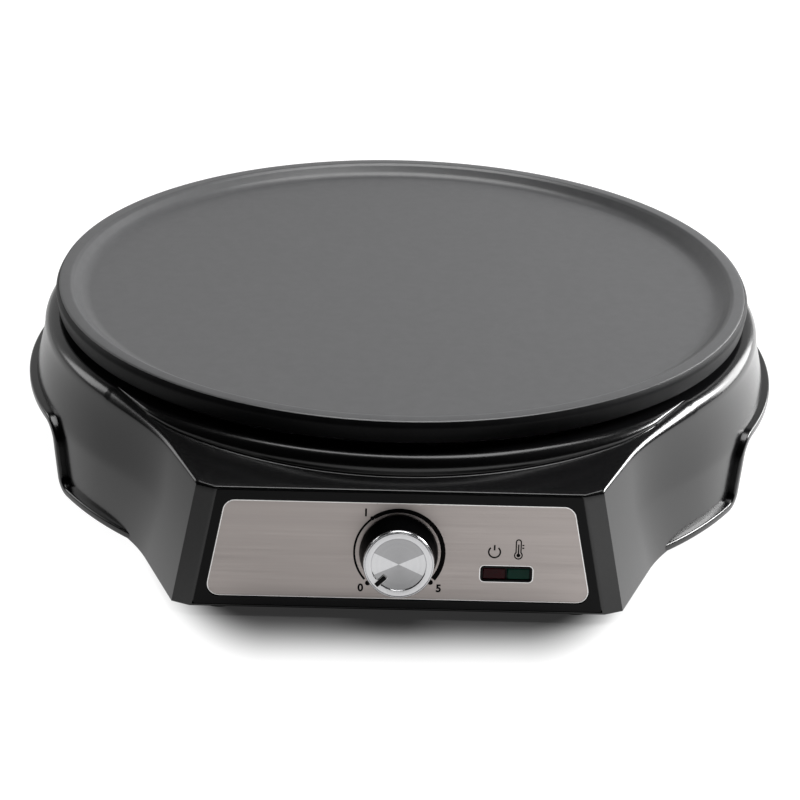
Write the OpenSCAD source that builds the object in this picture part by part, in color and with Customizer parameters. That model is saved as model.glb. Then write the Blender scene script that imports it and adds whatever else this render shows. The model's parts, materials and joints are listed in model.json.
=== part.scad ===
// Electric crepe maker: a round cast griddle plate on a black moulded drum,
// with a sloping control box at the front. Millimetres, +Z up, front towards -Y.
// Modules draw around the plate's axis, and place() moves them so that the
// origin is the bottom centre of the whole appliance.

/* [Overall] */
// Height from the table to the crest of the plate
overall_h = 76; // [70:0.5:95]
// Height of the rubber feet, which is also the ground clearance of the base
foot_h = 4; // [3:0.5:6]
// Clearance between parts that are fitted together by hand
fit_gap = 0.3; // [0.2:0.05:0.5]

/* [Plate] */
// Outer radius of the griddle plate
plate_r = 157.5; // [150:0.5:165]
// Width of the bevel outside the lip
rim_bevel = 2.5; // [1:0.5:4]
// Width of the flat lip on top of the rim
rim_lip_w = 4; // [2:0.5:7]
// Width of the sloping wall inside the lip
rim_slope_w = 6; // [4:0.5:9]
// Depth of the cooking surface below the crest
well_d = 5.5; // [3:0.5:7]
// Thickness of the casting under the cooking surface
plate_t = 4; // [3:0.5:5]
// Taper of the rim band towards its bottom edge
rim_draft = 1; // [0:0.25:2]

/* [Heating] */
// Distance from the plate's rim to the heating element's loop
element_inset = 62.5; // [50:0.5:77]
// Diameter of the heating element's tube
element_d = 7; // [6:0.5:9]
// Angle left open between the element's two ends
element_gap_deg = 20; // [16:1:40]
// Length of the cold ends that hang down from the loop
element_leg = 19; // [18:0.5:24]
// Depth of the heat shield's dish
shield_d = 8; // [6:0.5:11]
// Thickness of the heat shield's sheet
shield_t = 0.8; // [0.5:0.1:1.2]
// How far the plate's screws stand in from the rim
screw_inset = 19.5; // [17.5:0.5:22]
// Diameter of the spacers between the plate and the heat shield
spacer_d = 11; // [9:0.5:12]

/* [Housing] */
// Gap between the plate's rim and the housing's ring
plate_gap = 3.5; // [2:0.5:5]
// Wall thickness of the housing
wall = 2.5; // [2:0.1:3]
// Radius of the shoulder's quarter round
shoulder_r = 6; // [4:0.5:8]
// How far the skirt flares out from the shoulder to its bottom edge
skirt_flare = 5; // [3:0.5:7]
// How far the lip stands out from the skirt
lip_out = 3; // [2:0.25:4]
// Thickness of the lip
lip_t = 3.5; // [2.5:0.25:4.5]
// Width of the housing ring's top edge
ring_w = 7; // [5:0.5:9]
// Depth of the ledge inside the ring
ledge_d = 5; // [4:0.5:6]
// Distance from the rim to the opening that the heat shield's dish hangs in
shield_hole_inset = 29.5; // [28.5:0.5:32]

/* [Hand grips] */
// Half length of each hand grip, along the table
grip_half = 71; // [55:1:75]
// Height of the lip's bottom edge over the hand grip
grip_z = 32; // [28:0.5:34]
// Radius of the two bends between the grip and the foot of the skirt
ogee_r = 8; // [5:0.5:10]
// Steepness of the line between those bends
ogee_steep = 78; // [60:1:86]
// Room between the end of the skirt's bend and the grip's inner wall
grip_wall_gap = 1; // [0.5:0.5:3]

/* [Control box] */
// How far the panel's bottom edge stands in front of the plate's rim
panel_reach = 23.1; // [20.5:0.1:28]
// Slope of the panel, back from upright
panel_tilt = 9; // [6:0.5:12]
// Height of the panel along its slope
panel_h = 50.2; // [49:0.2:52]
// Width of the panel along its top edge
panel_top_w = 145.8; // [142:0.2:150]
// Width of the panel along its bottom edge
panel_bottom_w = 166; // [160:0.5:168]
// Sideways reach of the chamfer beside the panel
chamfer_x = 7.5; // [5:0.5:9]
// Depth of the chamfer beside the panel
chamfer_y = 3.2; // [2:0.2:5]
// Half width of the box where it leaves the drum, at the top, as a share of the plate's radius
box_back_top = 0.749; // [0.72:0.005:0.77]
// Half width of the box where it leaves the drum, at the bottom, as a share of that radius
box_back_bottom = 0.775; // [0.75:0.005:0.79]
// Distance from the axis to where the box leaves the drum, as a share of that radius
box_back_depth = 0.648; // [0.62:0.005:0.67]

/* [Panel] */
// Width of the housing's edge that shows outside the black frame
frame_edge = 0.8; // [0.5:0.1:1.5]
// Thickness of the black frame around the panel
bezel_t = 4.4; // [3.8:0.2:5]
// Depth of the steel fascia below the frame's face
fascia_drop = 0.8; // [0.4:0.1:1.2]
// Thickness of the steel fascia
fascia_t = 0.8; // [0.5:0.1:1]
// Margin between the frame's edge and the fascia, at the sides
fascia_margin_x = 4.9; // [3.5:0.1:6]
// Margin between the frame's edge and the fascia, at the bottom
fascia_margin_bottom = 4.4; // [3.5:0.1:6]
// Margin between the frame's edge and the fascia, at the top
fascia_margin_top = 5.2; // [3.5:0.1:6]
// Corner radius of the fascia
fascia_r = 5; // [3:0.5:7]
// Height of the dial's centre up the panel
dial_v = 24.2; // [23:0.2:26]
// Distance from the lamp window's centre to the panel's bottom corner
lamp_inset = 40; // [36:0.5:44]
// Height of the lamp window's centre up the panel
lamp_v = 16.2; // [14:0.2:20]
// Width of the lamp window
lamp_w = 20.6; // [18:0.2:24]
// Height of the lamp window
lamp_h = 6.5; // [5:0.1:8]

/* [Knob] */
// Diameter of the knob's metal cap
cap_d = 28; // [26:0.2:30]
// Distance from the panel to the face of the cap
cap_face = 13; // [12:0.1:15]
// Wall thickness of the metal cap
cap_t = 0.8; // [0.6:0.1:1.2]
// Diameter of the knob's skirt where it meets the panel
knob_base_d = 31.4; // [29.6:0.2:33]
// Height of the metal cap's edge
cap_edge_h = 1.6; // [1.4:0.1:4]
// Length of the pointer bar
pointer_l = 5; // [4:0.2:8]
// Width of the pointer bar
pointer_w = 1.4; // [1:0.1:2.4]
// Turn of the knob from off to the hottest setting
dial_sweep = 270; // [240:5:290]

/* [Thermostat] */
// Diameter of the spindle
spindle_d = 6; // [5:0.5:7]
// Running clearance on the spindle's radius
run_gap = 0.05; // [0.02:0.01:0.1]
// Outer diameter of the threaded bush
bush_d = 10; // [9:0.5:11]
// Width of the fixing nut across its flats
nut_af = 14; // [13:0.5:15]
// Distance from the fixing flange to the thermostat's frame
frame_w0 = 14; // [12:0.5:16]
// Travel of the push pin from off to the hottest setting
pin_travel = 1.2; // [0.8:0.1:1.4]
// Distance from the spindle to the ceramic stack
stack_x = 22; // [20:0.5:25]
// Diameter of the ceramic stack
stack_d = 10; // [8:0.5:11]
// Gap between the contacts when the dial is at off
contact_gap = 2.3; // [2.1:0.1:3]

/* [Feet and fasteners] */
// Diameter of the rubber feet
foot_d = 18; // [14:1:20]
// Sideways place of the front feet
front_foot_x = 72; // [60:1:76]
// How far the front feet stand behind the panel's bottom edge
front_foot_inset = 14.1; // [12.5:0.1:20]
// How far the rear feet stand in from the skirt's inner face
rear_foot_inset = 18.3; // [15:0.1:30]
// Turn of the rear feet from the sides towards the back
rear_foot_turn = 53.3; // [48:0.1:62]
// Diameter of the housing's screws
screw_d = 3.5; // [3:0.5:4]
// Diameter of the screw heads
head_d = 7; // [6:0.5:8]
// Height of the screw heads
head_h = 2.2; // [1.8:0.2:2.6]

/* [Cord inlet] */
// Diameter of the cord that the inlet takes
cord_d = 7; // [6:0.5:8]
// Height of the inlet above the table
inlet_z = 20; // [16:0.5:24]
// Clearance between the cord and the gland, on the radius
cord_gap = 0.2; // [0.1:0.05:0.4]

/* [Hidden] */

$fn = 96;
eps = 0.01;

// Heights above the table
crest_z = overall_h;
surface_z = crest_z - well_d;
plate_bottom_z = surface_z - plate_t;
ring_z = plate_bottom_z - plate_gap;
ledge_z = ring_z - ledge_d;
flange_z = ledge_z - wall;
floor_z = foot_h + wall;

// Radii around the plate's axis
element_loop_r = plate_r - element_inset;
screw_circle_r = plate_r - screw_inset;
shield_hole_r = plate_r - shield_hole_inset;
panel_y = plate_r + panel_reach;
ring_r = plate_r - 0.5;
ring_inner_r = ring_r - ring_w;
shoulder_out_r = ring_r + shoulder_r;
skirt_r = shoulder_out_r + skirt_flare;
lip_r = skirt_r + lip_out;
skirt_inner_r = skirt_r - wall;

// The origin moves from the plate's axis to the middle of the whole depth
panel_up = [0, sin(panel_tilt), cos(panel_tilt)];
panel_out = [0, -cos(panel_tilt), sin(panel_tilt)];
dial_point = [0, -panel_y, foot_h] + dial_v * panel_up;
cap_edge = 1.3;
knob_reach = -(dial_point + cap_face * panel_out - (cap_d / 2 - cap_edge) * panel_up)[1];
axis_y = (knob_reach - lip_r) / 2;

module place() translate([0, axis_y, 0]) children();
// On the panel: x across, y up the slope, z out of the panel, z = 0 at the frame's face
module at_panel() translate([0, -panel_y, foot_h]) rotate([90 - panel_tilt, 0, 0]) children();
module at_dial() at_panel() translate([0, dial_v, 0]) children();
// The same places as points, for the wires' ends
function on_panel(x, v, z) = [x, -panel_y, foot_h] + v * panel_up + z * panel_out;
function on_dial(x, z) = on_panel(x, dial_v, z);
module both_sides() { children(); mirror([1, 0, 0]) children(); }
module disc(r, z0, z1) translate([0, 0, z0]) cylinder(r = r, h = z1 - z0);
module ring_of(count, r, start = 0)
    for (i = [0:count - 1]) rotate([0, 0, start + i * 360 / count]) translate([r, 0, 0]) children();
module pan_screw(d, length, head_d, head_h) {
    cylinder(d = d, h = length, $fn = 32);
    translate([0, 0, -head_h]) difference() {
        cylinder(d = head_d, h = head_h, $fn = 40);
        for (a = [0, 90]) rotate([0, 0, a]) cube([head_d * 0.6, 0.9, 1.8], center = true);
    }
}

// Push-on tabs for the wires, and how far cutting blocks reach past the body
tab_w = 6.3;
tab_t = 0.8;
tab_l = 8;
past = 20;

/* ---- plate and heater ---- */
crest_r = plate_r - rim_bevel;
lip_inner_r = crest_r - rim_lip_w;
well_r = lip_inner_r - rim_slope_w;
element_z = plate_bottom_z - element_d / 2 - 0.1;
rib_w = element_d + 7;
rib_drop = element_d / 2;
screw_turn = 90;
boss_drop = 3.2;
clip_r = element_loop_r + element_d / 2 + 9.5;
clip_t = 1;
clip_w = 11;
clip_screw_l = 7;
clip_z = element_z - element_d / 2 - fit_gap;
clip_start = 0;

module griddle_plate() color([0.20, 0.20, 0.21]) {
    cove = well_d * 0.45;
    difference() {
        union() {
            rotate_extrude($fn = 180) polygon(concat(
                [[0, plate_bottom_z], [plate_r - rim_draft, plate_bottom_z],
                 [plate_r, crest_z - rim_bevel]],
                [for (a = [0:15:90])
                    [crest_r + rim_bevel * cos(a), crest_z - rim_bevel + rim_bevel * sin(a)]],
                [[lip_inner_r, crest_z], [lip_inner_r - 1, crest_z - 0.4],
                 [well_r + cove, surface_z + cove * 0.55], [well_r, surface_z], [0, surface_z]]));
            rotate_extrude() translate([element_loop_r - rib_w / 2, plate_bottom_z - rib_drop])
                square([rib_w, rib_drop + eps]);
            ring_of(3, screw_circle_r, screw_turn)
                translate([0, 0, plate_bottom_z - boss_drop])
                    cylinder(d = spacer_d + 2, h = boss_drop + eps);
            ring_of(3, clip_r, clip_start)
                translate([0, 0, clip_z]) cylinder(d = clip_w - 2, h = plate_bottom_z - clip_z + eps);
        }
        rotate_extrude() translate([element_loop_r, element_z])
            circle(d = element_d + 2 * fit_gap, $fn = 48);
        ring_of(3, screw_circle_r, screw_turn)
            translate([0, 0, plate_bottom_z - boss_drop - eps])
                cylinder(d = screw_d + 2 * run_gap, h = boss_drop + 2.5);
        ring_of(3, clip_r, clip_start)
            translate([0, 0, clip_z - eps]) cylinder(d = screw_d + 2 * run_gap, h = clip_screw_l);
    }
}

element_leg_z = element_z - element_leg;
stud_l = 3.5;
module at_element_ends()
    for (a = [-90 - element_gap_deg / 2, -90 + element_gap_deg / 2])
        rotate([0, 0, a]) translate([element_loop_r, 0, 0]) children();

module heating_element() color([0.38, 0.38, 0.36]) {
    rotate([0, 0, -90 + element_gap_deg / 2]) rotate_extrude(angle = 360 - element_gap_deg)
        translate([element_loop_r, element_z]) circle(d = element_d, $fn = 40);
    at_element_ends() {
        translate([0, 0, element_z]) sphere(d = element_d, $fn = 40);
        translate([0, 0, element_leg_z]) cylinder(d = element_d, h = element_leg, $fn = 40);
    }
}
module element_terminals() color("silver") at_element_ends() {
    translate([-tab_t / 2, -tab_w / 2, element_leg_z - stud_l - tab_l + 0.5]) cube([tab_t, tab_w, tab_l]);
    translate([0, 0, element_leg_z - stud_l]) cylinder(d = tab_w / 2, h = stud_l, $fn = 32);
}
shield_floor_z = ledge_z + shield_t - shield_d;
insulator_neck = 3;
insulator_d = element_d + 2 * insulator_neck;
insulator_h = 8;
module element_insulators() color("ivory") at_element_ends()
    translate([0, 0, shield_floor_z]) difference() {
        union() {
            cylinder(d = insulator_d, h = insulator_h - insulator_neck);
            translate([0, 0, -insulator_neck])
                cylinder(d = insulator_d - insulator_neck, h = insulator_neck + eps);
        }
        translate([0, 0, -insulator_neck - eps]) cylinder(d = element_d + 2 * fit_gap, h = insulator_h + 1);
    }
module element_clips() color("silver") ring_of(3, clip_r, clip_start)
    translate([0, 0, clip_z - clip_t]) difference() {
        union() {
            cylinder(d = clip_w, h = clip_t);
            translate([element_loop_r - clip_r - 4, -clip_w / 2, 0])
                cube([clip_r - element_loop_r + 4, clip_w, clip_t]);
        }
        translate([0, 0, -eps]) cylinder(d = screw_d + 2 * fit_gap, h = clip_t + 2 * eps, $fn = 32);
    }
module clip_screws() color("silver") ring_of(3, clip_r, clip_start)
    translate([0, 0, clip_z - clip_t]) pan_screw(screw_d, clip_screw_l, head_d, head_h);

shield_vent_r = 45;
module heat_shield() color([0.75, 0.75, 0.76]) difference() {
    rotate_extrude() polygon([
        [0, shield_floor_z - shield_t], [shield_hole_r - 6, shield_floor_z - shield_t],
        [shield_hole_r - 2, ledge_z], [ring_inner_r - 2, ledge_z],
        [ring_inner_r - 2, ledge_z + shield_t], [shield_hole_r - 2.6, ledge_z + shield_t],
        [shield_hole_r - 6.6, shield_floor_z], [0, shield_floor_z]]);
    at_element_ends() translate([0, 0, shield_floor_z - insulator_neck])
        cylinder(d = insulator_d - insulator_neck + 2 * fit_gap, h = 2 * insulator_neck);
    ring_of(3, screw_circle_r, screw_turn)
        translate([0, 0, ledge_z - 1]) cylinder(d = screw_d + 2 * fit_gap, h = 4, $fn = 32);
    translate([earth_at[0], earth_at[1], 0])
        disc(screw_d / 2 + run_gap, shield_floor_z - 3, shield_floor_z + 3);
    ring_of(8, shield_vent_r) disc(4, shield_floor_z - 3, shield_floor_z + 3);
    disc(12, shield_floor_z - 3, shield_floor_z + 3);
}
spacer_z = ledge_z + shield_t;
spacer_h = plate_bottom_z - boss_drop - spacer_z;
module plate_spacers() color("ivory") ring_of(3, screw_circle_r, screw_turn)
    translate([0, 0, spacer_z]) difference() {
        cylinder(d = spacer_d, h = spacer_h);
        translate([0, 0, -eps]) cylinder(d = screw_d + 2 * fit_gap, h = spacer_h + 2 * eps, $fn = 32);
    }
module plate_screws() color("silver") ring_of(3, screw_circle_r, screw_turn)
    translate([0, 0, flange_z]) pan_screw(screw_d, plate_bottom_z - flange_z + 1.5, head_d, head_h);

fuse_y = 30;
module thermal_fuse() color("silver") translate([0, -fuse_y, shield_floor_z - shield_t]) {
    translate([-8, 0, -3.2]) rotate([0, 90, 0]) cylinder(d = 4.4, h = 16, $fn = 32);
    translate([-4, -6, -1]) cube([8, 12, 1]);
    translate([-4, -3, -3.2]) cube([8, 6, 2.4]);
    for (s = [-1, 1]) translate([s * 13, 0, -3.2]) rotate([0, 90, 0])
        cylinder(d = 1.2, h = 12, center = true, $fn = 16);
}

/* ---- housing ---- */
// Plan of the control box at a height above the table, as its half towards +X
deck_front_z = foot_h + panel_h * cos(panel_tilt);
deck_back_z = ring_z - 1;
box_back_y = box_back_depth * plate_r;
panel_top_y = panel_y - panel_h * sin(panel_tilt);
deck_slope = atan((deck_back_z - deck_front_z) / (panel_top_y - box_back_y));
front_wall = bezel_t + fit_gap + wall;
box_join_y = -40;
box_join_x = 40;
function mix(a, b, t) = a + (b - a) * t;
function box_t(z) = (z - foot_h) / (deck_front_z - foot_h);
function front_edge(z) =
    [mix(panel_bottom_w, panel_top_w, box_t(z)) / 2, -mix(panel_y, panel_top_y, box_t(z))];
function box_corner(z) = front_edge(z) + [chamfer_x, chamfer_y];
function box_back(z) = [plate_r * mix(box_back_bottom, box_back_top, box_t(z)), -box_back_y];
function mirrored(half) = concat(half, [for (i = [len(half) - 1:-1:0]) [-half[i][0], half[i][1]]]);
function box_plan(z) = mirrored([front_edge(z), box_corner(z), box_back(z),
                                 [box_back(z)[0] - box_join_x, box_join_y]]);
// The room inside the box's walls, with a gap to spare
function box_room(z, gap) = let (
    corner = box_corner(z), back = box_back(z), slope = (back[0] - corner[0]) / (back[1] - corner[1]),
    side = (wall + gap) * sqrt(1 + slope * slope), y = front_edge(z)[1] + front_wall + gap)
    mirrored([[corner[0] + slope * (y - corner[1]) - side, y], [back[0] - side, back[1]],
              [back[0] - side - box_join_x, box_join_y]]);
module under_deck(drop) difference() {
    children();
    translate([0, -panel_top_y, deck_front_z - drop]) rotate([deck_slope, 0, 0])
        translate([-skirt_r, -past, 0]) cube([2 * skirt_r, skirt_r, overall_h]);
}
// A tapering block between two outlines with as many points
module taper(low, high, z0, z1) {
    n = len(low);
    hull() polyhedron(concat([for (p = low) [p[0], p[1], z0]], [for (p = high) [p[0], p[1], z1]]),
        concat([[for (i = [0:n - 1]) i]], [[for (i = [n - 1:-1:0]) n + i]],
            [for (i = [0:n - 1]) [(i + 1) % n, i, n + i, n + (i + 1) % n]]));
}
// Bottom edge of the skirt along Y: low in front and behind, raised over the grips
ogee_line = (grip_z - foot_h - 2 * ogee_r * (1 - cos(ogee_steep))) / sin(ogee_steep);
ogee_w = 2 * ogee_r * sin(ogee_steep) + ogee_line * cos(ogee_steep);
ogee = concat(
    [for (i = [0:5]) let (a = ogee_steep * i / 5)
        [-grip_half - ogee_w + ogee_r * sin(a), foot_h + ogee_r * (1 - cos(a))]],
    [for (i = [5:-1:0]) let (a = ogee_steep * i / 5)
        [-grip_half - ogee_r * sin(a), grip_z - ogee_r * (1 - cos(a))]]);
edge = concat([[-lip_r - past, foot_h]], ogee, [for (i = [len(ogee) - 1:-1:0]) [-ogee[i][0], ogee[i][1]]],
              [[lip_r + past, foot_h]]);
function edge_normal(i) = let (
    a = edge[max(i - 1, 0)], b = edge[min(i + 1, len(edge) - 1)],
    d = (b - a) / norm(b - a)) [-d[1], d[0]];
edge_top = [for (i = [0:len(edge) - 1]) edge[i] + lip_t * edge_normal(i)];
edge_under = [for (i = [0:len(edge) - 1]) edge[i] - edge_normal(i)];
module along_x(length) rotate([90, 0, 90]) linear_extrude(length, center = true) children();

module skirt_lip() intersection() {
    along_x(2 * (lip_r + past)) polygon(concat(edge_under, [for (i = [len(edge) - 1:-1:0]) edge_top[i]]));
    difference() {
        disc(lip_r, 0, crest_z);
        disc(skirt_r - wall / 2, -1, crest_z + 1);
    }
}
module drum_form() rotate_extrude($fn = 180) polygon(concat(
    [[0, foot_h], [skirt_r, foot_h], [skirt_r, grip_z]],
    [for (a = [0:10:90]) [ring_r + shoulder_r * cos(a), ring_z - shoulder_r + shoulder_r * sin(a)]],
    [[0, ring_z]]));
module drum_hollow() rotate_extrude($fn = 180) polygon([
    [0, foot_h - 1], [skirt_inner_r, foot_h - 1], [skirt_inner_r, grip_z],
    [shoulder_out_r - wall, ring_z - shoulder_r], [ring_r - 0.5, ring_z - wall],
    [ring_inner_r + wall, ring_z - wall], [ring_inner_r + wall, flange_z], [0, flange_z]]);
boss_d = 9;
base_screw_r = skirt_inner_r - 22.5;
base_screw_turns = [62, 118, 236, 304];
module at_base_screws()
    for (a = base_screw_turns) rotate([0, 0, a]) translate([base_screw_r, 0, 0]) children();
// Opening in the front wall for the thermostat and the lamps, across and up the panel
lamp_x = panel_bottom_w / 2 - lamp_inset;
window_x = [-2 * stack_x, lamp_x + lamp_w / 2 + 3.7];
window_v = [7, panel_h - 8];
inlet_face_y = skirt_r - 0.5;
inlet_y = skirt_r - wall - 3;
gland_d = cord_d + 5;

module upper_housing() color([0.07, 0.07, 0.075]) difference() {
    union() {
        difference() {
            union() {
                drum_form();
                under_deck(0) taper(box_plan(foot_h), box_plan(deck_back_z), foot_h, deck_back_z);
                skirt_lip();
            }
            drum_hollow();
            under_deck(wall) taper(box_room(foot_h - 1, 0), box_room(flange_z, 0), foot_h - 1, flange_z);
        }
        at_base_screws() disc(boss_d / 2, floor_z + fit_gap, flange_z + eps);
        translate([0, inlet_y, inlet_z]) rotate([-90, 0, 0]) cylinder(d = gland_d + 8, h = 4);
    }
    // top opening, ledge and heat shield hole
    disc(ring_inner_r, ledge_z, ring_z + 1);
    disc(shield_hole_r, flange_z - 1, ledge_z + 1);
    // finger space under the raised edge
    along_x(2 * (lip_r + past)) polygon(concat([[-lip_r - past, -2]], edge, [[lip_r + past, -2]]));
    ring_of(3, screw_circle_r, screw_turn) disc(screw_d / 2 + fit_gap, flange_z - 1, ledge_z + 1);
    at_base_screws() disc(screw_d / 2 + run_gap, 0, floor_z + base_screw_l);
    at_panel() translate([window_x[0], window_v[0], -past])
        cube([window_x[1] - window_x[0], window_v[1] - window_v[0], past]);
    at_panel() at_bezel_screws() translate([0, 0, -past])
        cylinder(d = screw_d + 2 * run_gap, h = past, $fn = 32);
    bezel_seat();
    translate([0, inlet_y - 2, inlet_z]) rotate([-90, 0, 0]) cylinder(d = gland_d + 2 * fit_gap, h = past);
    inlet_flat();
}
module inlet_flat() translate([0, inlet_face_y + past, inlet_z])
    cube([gland_d + 12, 2 * past, gland_d + 12], center = true);
// A panel-shaped outline on the panel, drawn in from the frame's edge
function panel_outline(side, bottom, top) = let (
    k = (panel_bottom_w - panel_top_w) / 2 / panel_h,
    x0 = panel_bottom_w / 2 - side, x1 = panel_top_w / 2 - side)
    [[-x0 + k * bottom, bottom], [x0 - k * bottom, bottom],
     [x1 + k * top, panel_h - top], [-x1 - k * top, panel_h - top]];
module rounded_outline(side, bottom, top, r) {
    p = panel_outline(side + r, bottom + r, top + r);
    hull() for (q = p) translate(q) circle(r = r, $fn = 48);
}
// Pocket for the black frame
module bezel_seat() at_panel() translate([0, 0, -bezel_t - fit_gap]) linear_extrude(bezel_t + fit_gap + 5)
    polygon(panel_outline(frame_edge, frame_edge, frame_edge));

/* ---- base ---- */
base_r = skirt_inner_r - fit_gap;
pocket_top = grip_z + 4;
roof_r = shoulder_out_r - wall - 2 * fit_gap;
grip_wall_x = sqrt(pow(skirt_inner_r, 2) - pow(grip_half + ogee_w, 2)) - grip_wall_gap;
module base_plan(gap) {
    circle(r = skirt_inner_r - gap, $fn = 180);
    polygon(box_room(floor_z, gap));
}
// The finger spaces: everything beyond a straight wall on each side
module beyond_grip(x) both_sides() translate([x, -skirt_r, -1]) cube([skirt_r, 2 * skirt_r, crest_z]);
module at_feet(z = 0) both_sides() {
    translate([front_foot_x, front_foot_inset - panel_y, z]) children();
    rotate([0, 0, rear_foot_turn]) translate([skirt_inner_r - rear_foot_inset, 0, z]) children();
}
module slot(w, l, h) {
    translate([-w / 2, -l / 2, 0]) cube([w, l, h]);
    for (s = [-1, 1]) translate([0, s * l / 2, 0]) cylinder(d = w, h = h, $fn = 24);
}
// Rows of slots that let air in under the heat shield
vent_w = 3;
vent_l = 34;
vent_short_l = 24;
vent_pitch = 11;
vent_y = 60;
base_screw_l = 16;
foot_boss_h = 5;
module base_pan() color([0.10, 0.10, 0.105]) difference() {
    union() {
        difference() {
            translate([0, 0, foot_h]) linear_extrude(wall) base_plan(fit_gap);
            beyond_grip(grip_wall_x);
        }
        // upright walls and roofs of the finger spaces
        difference() {
            intersection() {
                disc(base_r - 3, foot_h, pocket_top + eps);
                beyond_grip(grip_wall_x - wall);
            }
            beyond_grip(grip_wall_x);
        }
        intersection() {
            disc(roof_r, pocket_top, pocket_top + wall);
            beyond_grip(grip_wall_x - wall);
        }
        at_feet() disc(foot_boss_h, floor_z - eps, floor_z + foot_boss_h);
        terminal_base();
    }
    at_feet() disc(screw_d / 2 + run_gap, 0, floor_z + foot_boss_h + 1);
    at_base_screws() disc(screw_d / 2 + fit_gap, 0, floor_z + 1);
    for (y = [-vent_y, vent_y], i = [-5:5])
        translate([i * vent_pitch, y, foot_h - 1]) slot(vent_w, vent_l, wall + 2);
    for (i = [-4:4]) translate([i * vent_pitch, 0, foot_h - 1]) slot(vent_w, vent_short_l, wall + 2);
}
module base_screws() color("silver") at_base_screws()
    translate([0, 0, foot_h]) pan_screw(screw_d, base_screw_l, head_d, head_h);
foot_recess = 2.7;
module rubber_feet() color([0.09, 0.09, 0.09]) at_feet() difference() {
    union() {
        cylinder(d1 = foot_d - 2, d2 = foot_d, h = 1.2);
        translate([0, 0, 1.2]) cylinder(d = foot_d, h = foot_h - 1.2);
    }
    translate([0, 0, -eps]) cylinder(d = head_d + 1.4, h = foot_recess + eps);
    cylinder(d = screw_d + 2 * fit_gap, h = foot_h + 1, $fn = 32);
}
module foot_screws() color("silver") at_feet(foot_recess)
    pan_screw(screw_d, foot_h - foot_recess + wall + foot_boss_h - 1, head_d, head_h);

/* ---- front panel ---- */
bezel_screw_d = screw_d - 0.5;
bezel_screw_x = 67;
bezel_screw_v = 12;
module at_bezel_screws() both_sides() for (v = [bezel_screw_v, panel_h - bezel_screw_v])
    translate([bezel_screw_x, v, 0]) children();
lamp_round = 1.5;
module lamp_shape(grow) hull() for (x = [-1, 1], y = [-1, 1])
    translate([lamp_x + x * (lamp_w / 2 - lamp_round), lamp_v + y * (lamp_h / 2 - lamp_round)])
        circle(r = lamp_round + grow, $fn = 32);
fascia_floor = fascia_drop + fascia_t;
module front_bezel() color([0.05, 0.05, 0.052]) at_panel() difference() {
    translate([0, 0, -bezel_t]) linear_extrude(bezel_t)
        polygon(panel_outline(frame_edge + fit_gap, frame_edge + fit_gap, frame_edge + fit_gap));
    translate([0, 0, -fascia_floor]) linear_extrude(bezel_t)
        rounded_outline(fascia_margin_x - fit_gap / 2, fascia_margin_bottom - fit_gap / 2,
                        fascia_margin_top - fit_gap / 2, fascia_r);
    translate([0, dial_v, -bezel_t - 1]) cylinder(d = bush_d + 2 * run_gap, h = bezel_t + 5);
    translate([0, 0, -bezel_t - 1]) linear_extrude(bezel_t + 5) lamp_shape(fit_gap);
    at_bezel_screws() translate([0, 0, -bezel_t - 1])
        cylinder(d = bezel_screw_d + 2 * run_gap, h = bezel_t + 1 - fascia_floor - 0.4, $fn = 32);
}
module fascia_plate() color([0.60, 0.58, 0.56]) at_panel() difference() {
    translate([0, 0, -fascia_floor]) linear_extrude(fascia_t)
        rounded_outline(fascia_margin_x, fascia_margin_bottom, fascia_margin_top, fascia_r);
    translate([0, dial_v, -fascia_drop - 3]) cylinder(d = bush_d + 2 * fit_gap, h = 5);
    translate([0, 0, -fascia_drop - 3]) linear_extrude(5) lamp_shape(fit_gap);
}
module bezel_screws() color("silver") at_panel() at_bezel_screws()
    translate([0, 0, -front_wall])
        pan_screw(bezel_screw_d, front_wall - fascia_floor - 0.6, head_d - 1, head_h - 0.4);

/* ---- knob ---- */
knob_clear = 0.6;
knob_z0 = -fascia_drop + knob_clear;
pointer_turn = 225;
knob_hollow_d = nut_af / cos(30) + 4;
nut_h = 2.6;
washer_t = 0.6;
hollow_h = washer_t + nut_h + 1.2;
cap_skirt_z = cap_face - cap_edge_h;
cap_seat_z = cap_skirt_z - fit_gap / 2;
cap_under_z = cap_face - cap_t - fit_gap;
dish_depth = 0.5;
module knob_body() color([0.04, 0.04, 0.04]) at_dial() difference() {
    union() {
        translate([0, 0, knob_z0]) cylinder(d1 = knob_base_d, d2 = cap_d - 0.4, h = cap_seat_z - knob_z0);
        translate([0, 0, cap_seat_z - eps])
            cylinder(d = cap_d - 2 * cap_t - 2 * fit_gap, h = cap_under_z - cap_seat_z + eps);
    }
    translate([0, 0, knob_z0 - eps]) cylinder(d = knob_hollow_d, h = hollow_h + fit_gap);
    translate([0, 0, knob_z0]) intersection() {
        cylinder(d = spindle_d + 2 * run_gap, h = cap_face - 3.4, $fn = 48);
        translate([-10, -spindle_d / 2 + spindle_flat - fit_gap, 0]) cube([20, 20, 20]);
    }
    translate([-clip_l / 2 - 0.5, -spindle_d / 2 + spindle_flat - fit_gap - 1.2, knob_z0 + hollow_h])
        cube([clip_l + 1, 1.25, clip_l]);
}
dish_d = cap_d * 0.76;
module knob_cap() color([0.82, 0.82, 0.83]) at_dial() difference() {
    rotate_extrude() polygon([
        [0, cap_under_z], [cap_d / 2 - cap_t, cap_under_z], [cap_d / 2 - cap_t, cap_skirt_z],
        [cap_d / 2, cap_skirt_z], [cap_d / 2, cap_face - 0.9], [cap_d / 2 - 0.4, cap_face - 0.3],
        [cap_d / 2 - cap_edge, cap_face], [dish_d / 2 + 0.3, cap_face],
        [dish_d / 2, cap_face - dish_depth], [0, cap_face - dish_depth]]);
    pointer_slot(fit_gap / 3);
}
pointer_end = cap_d / 2 - cap_edge - 0.3;
pointer_h = 0.7;
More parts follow.
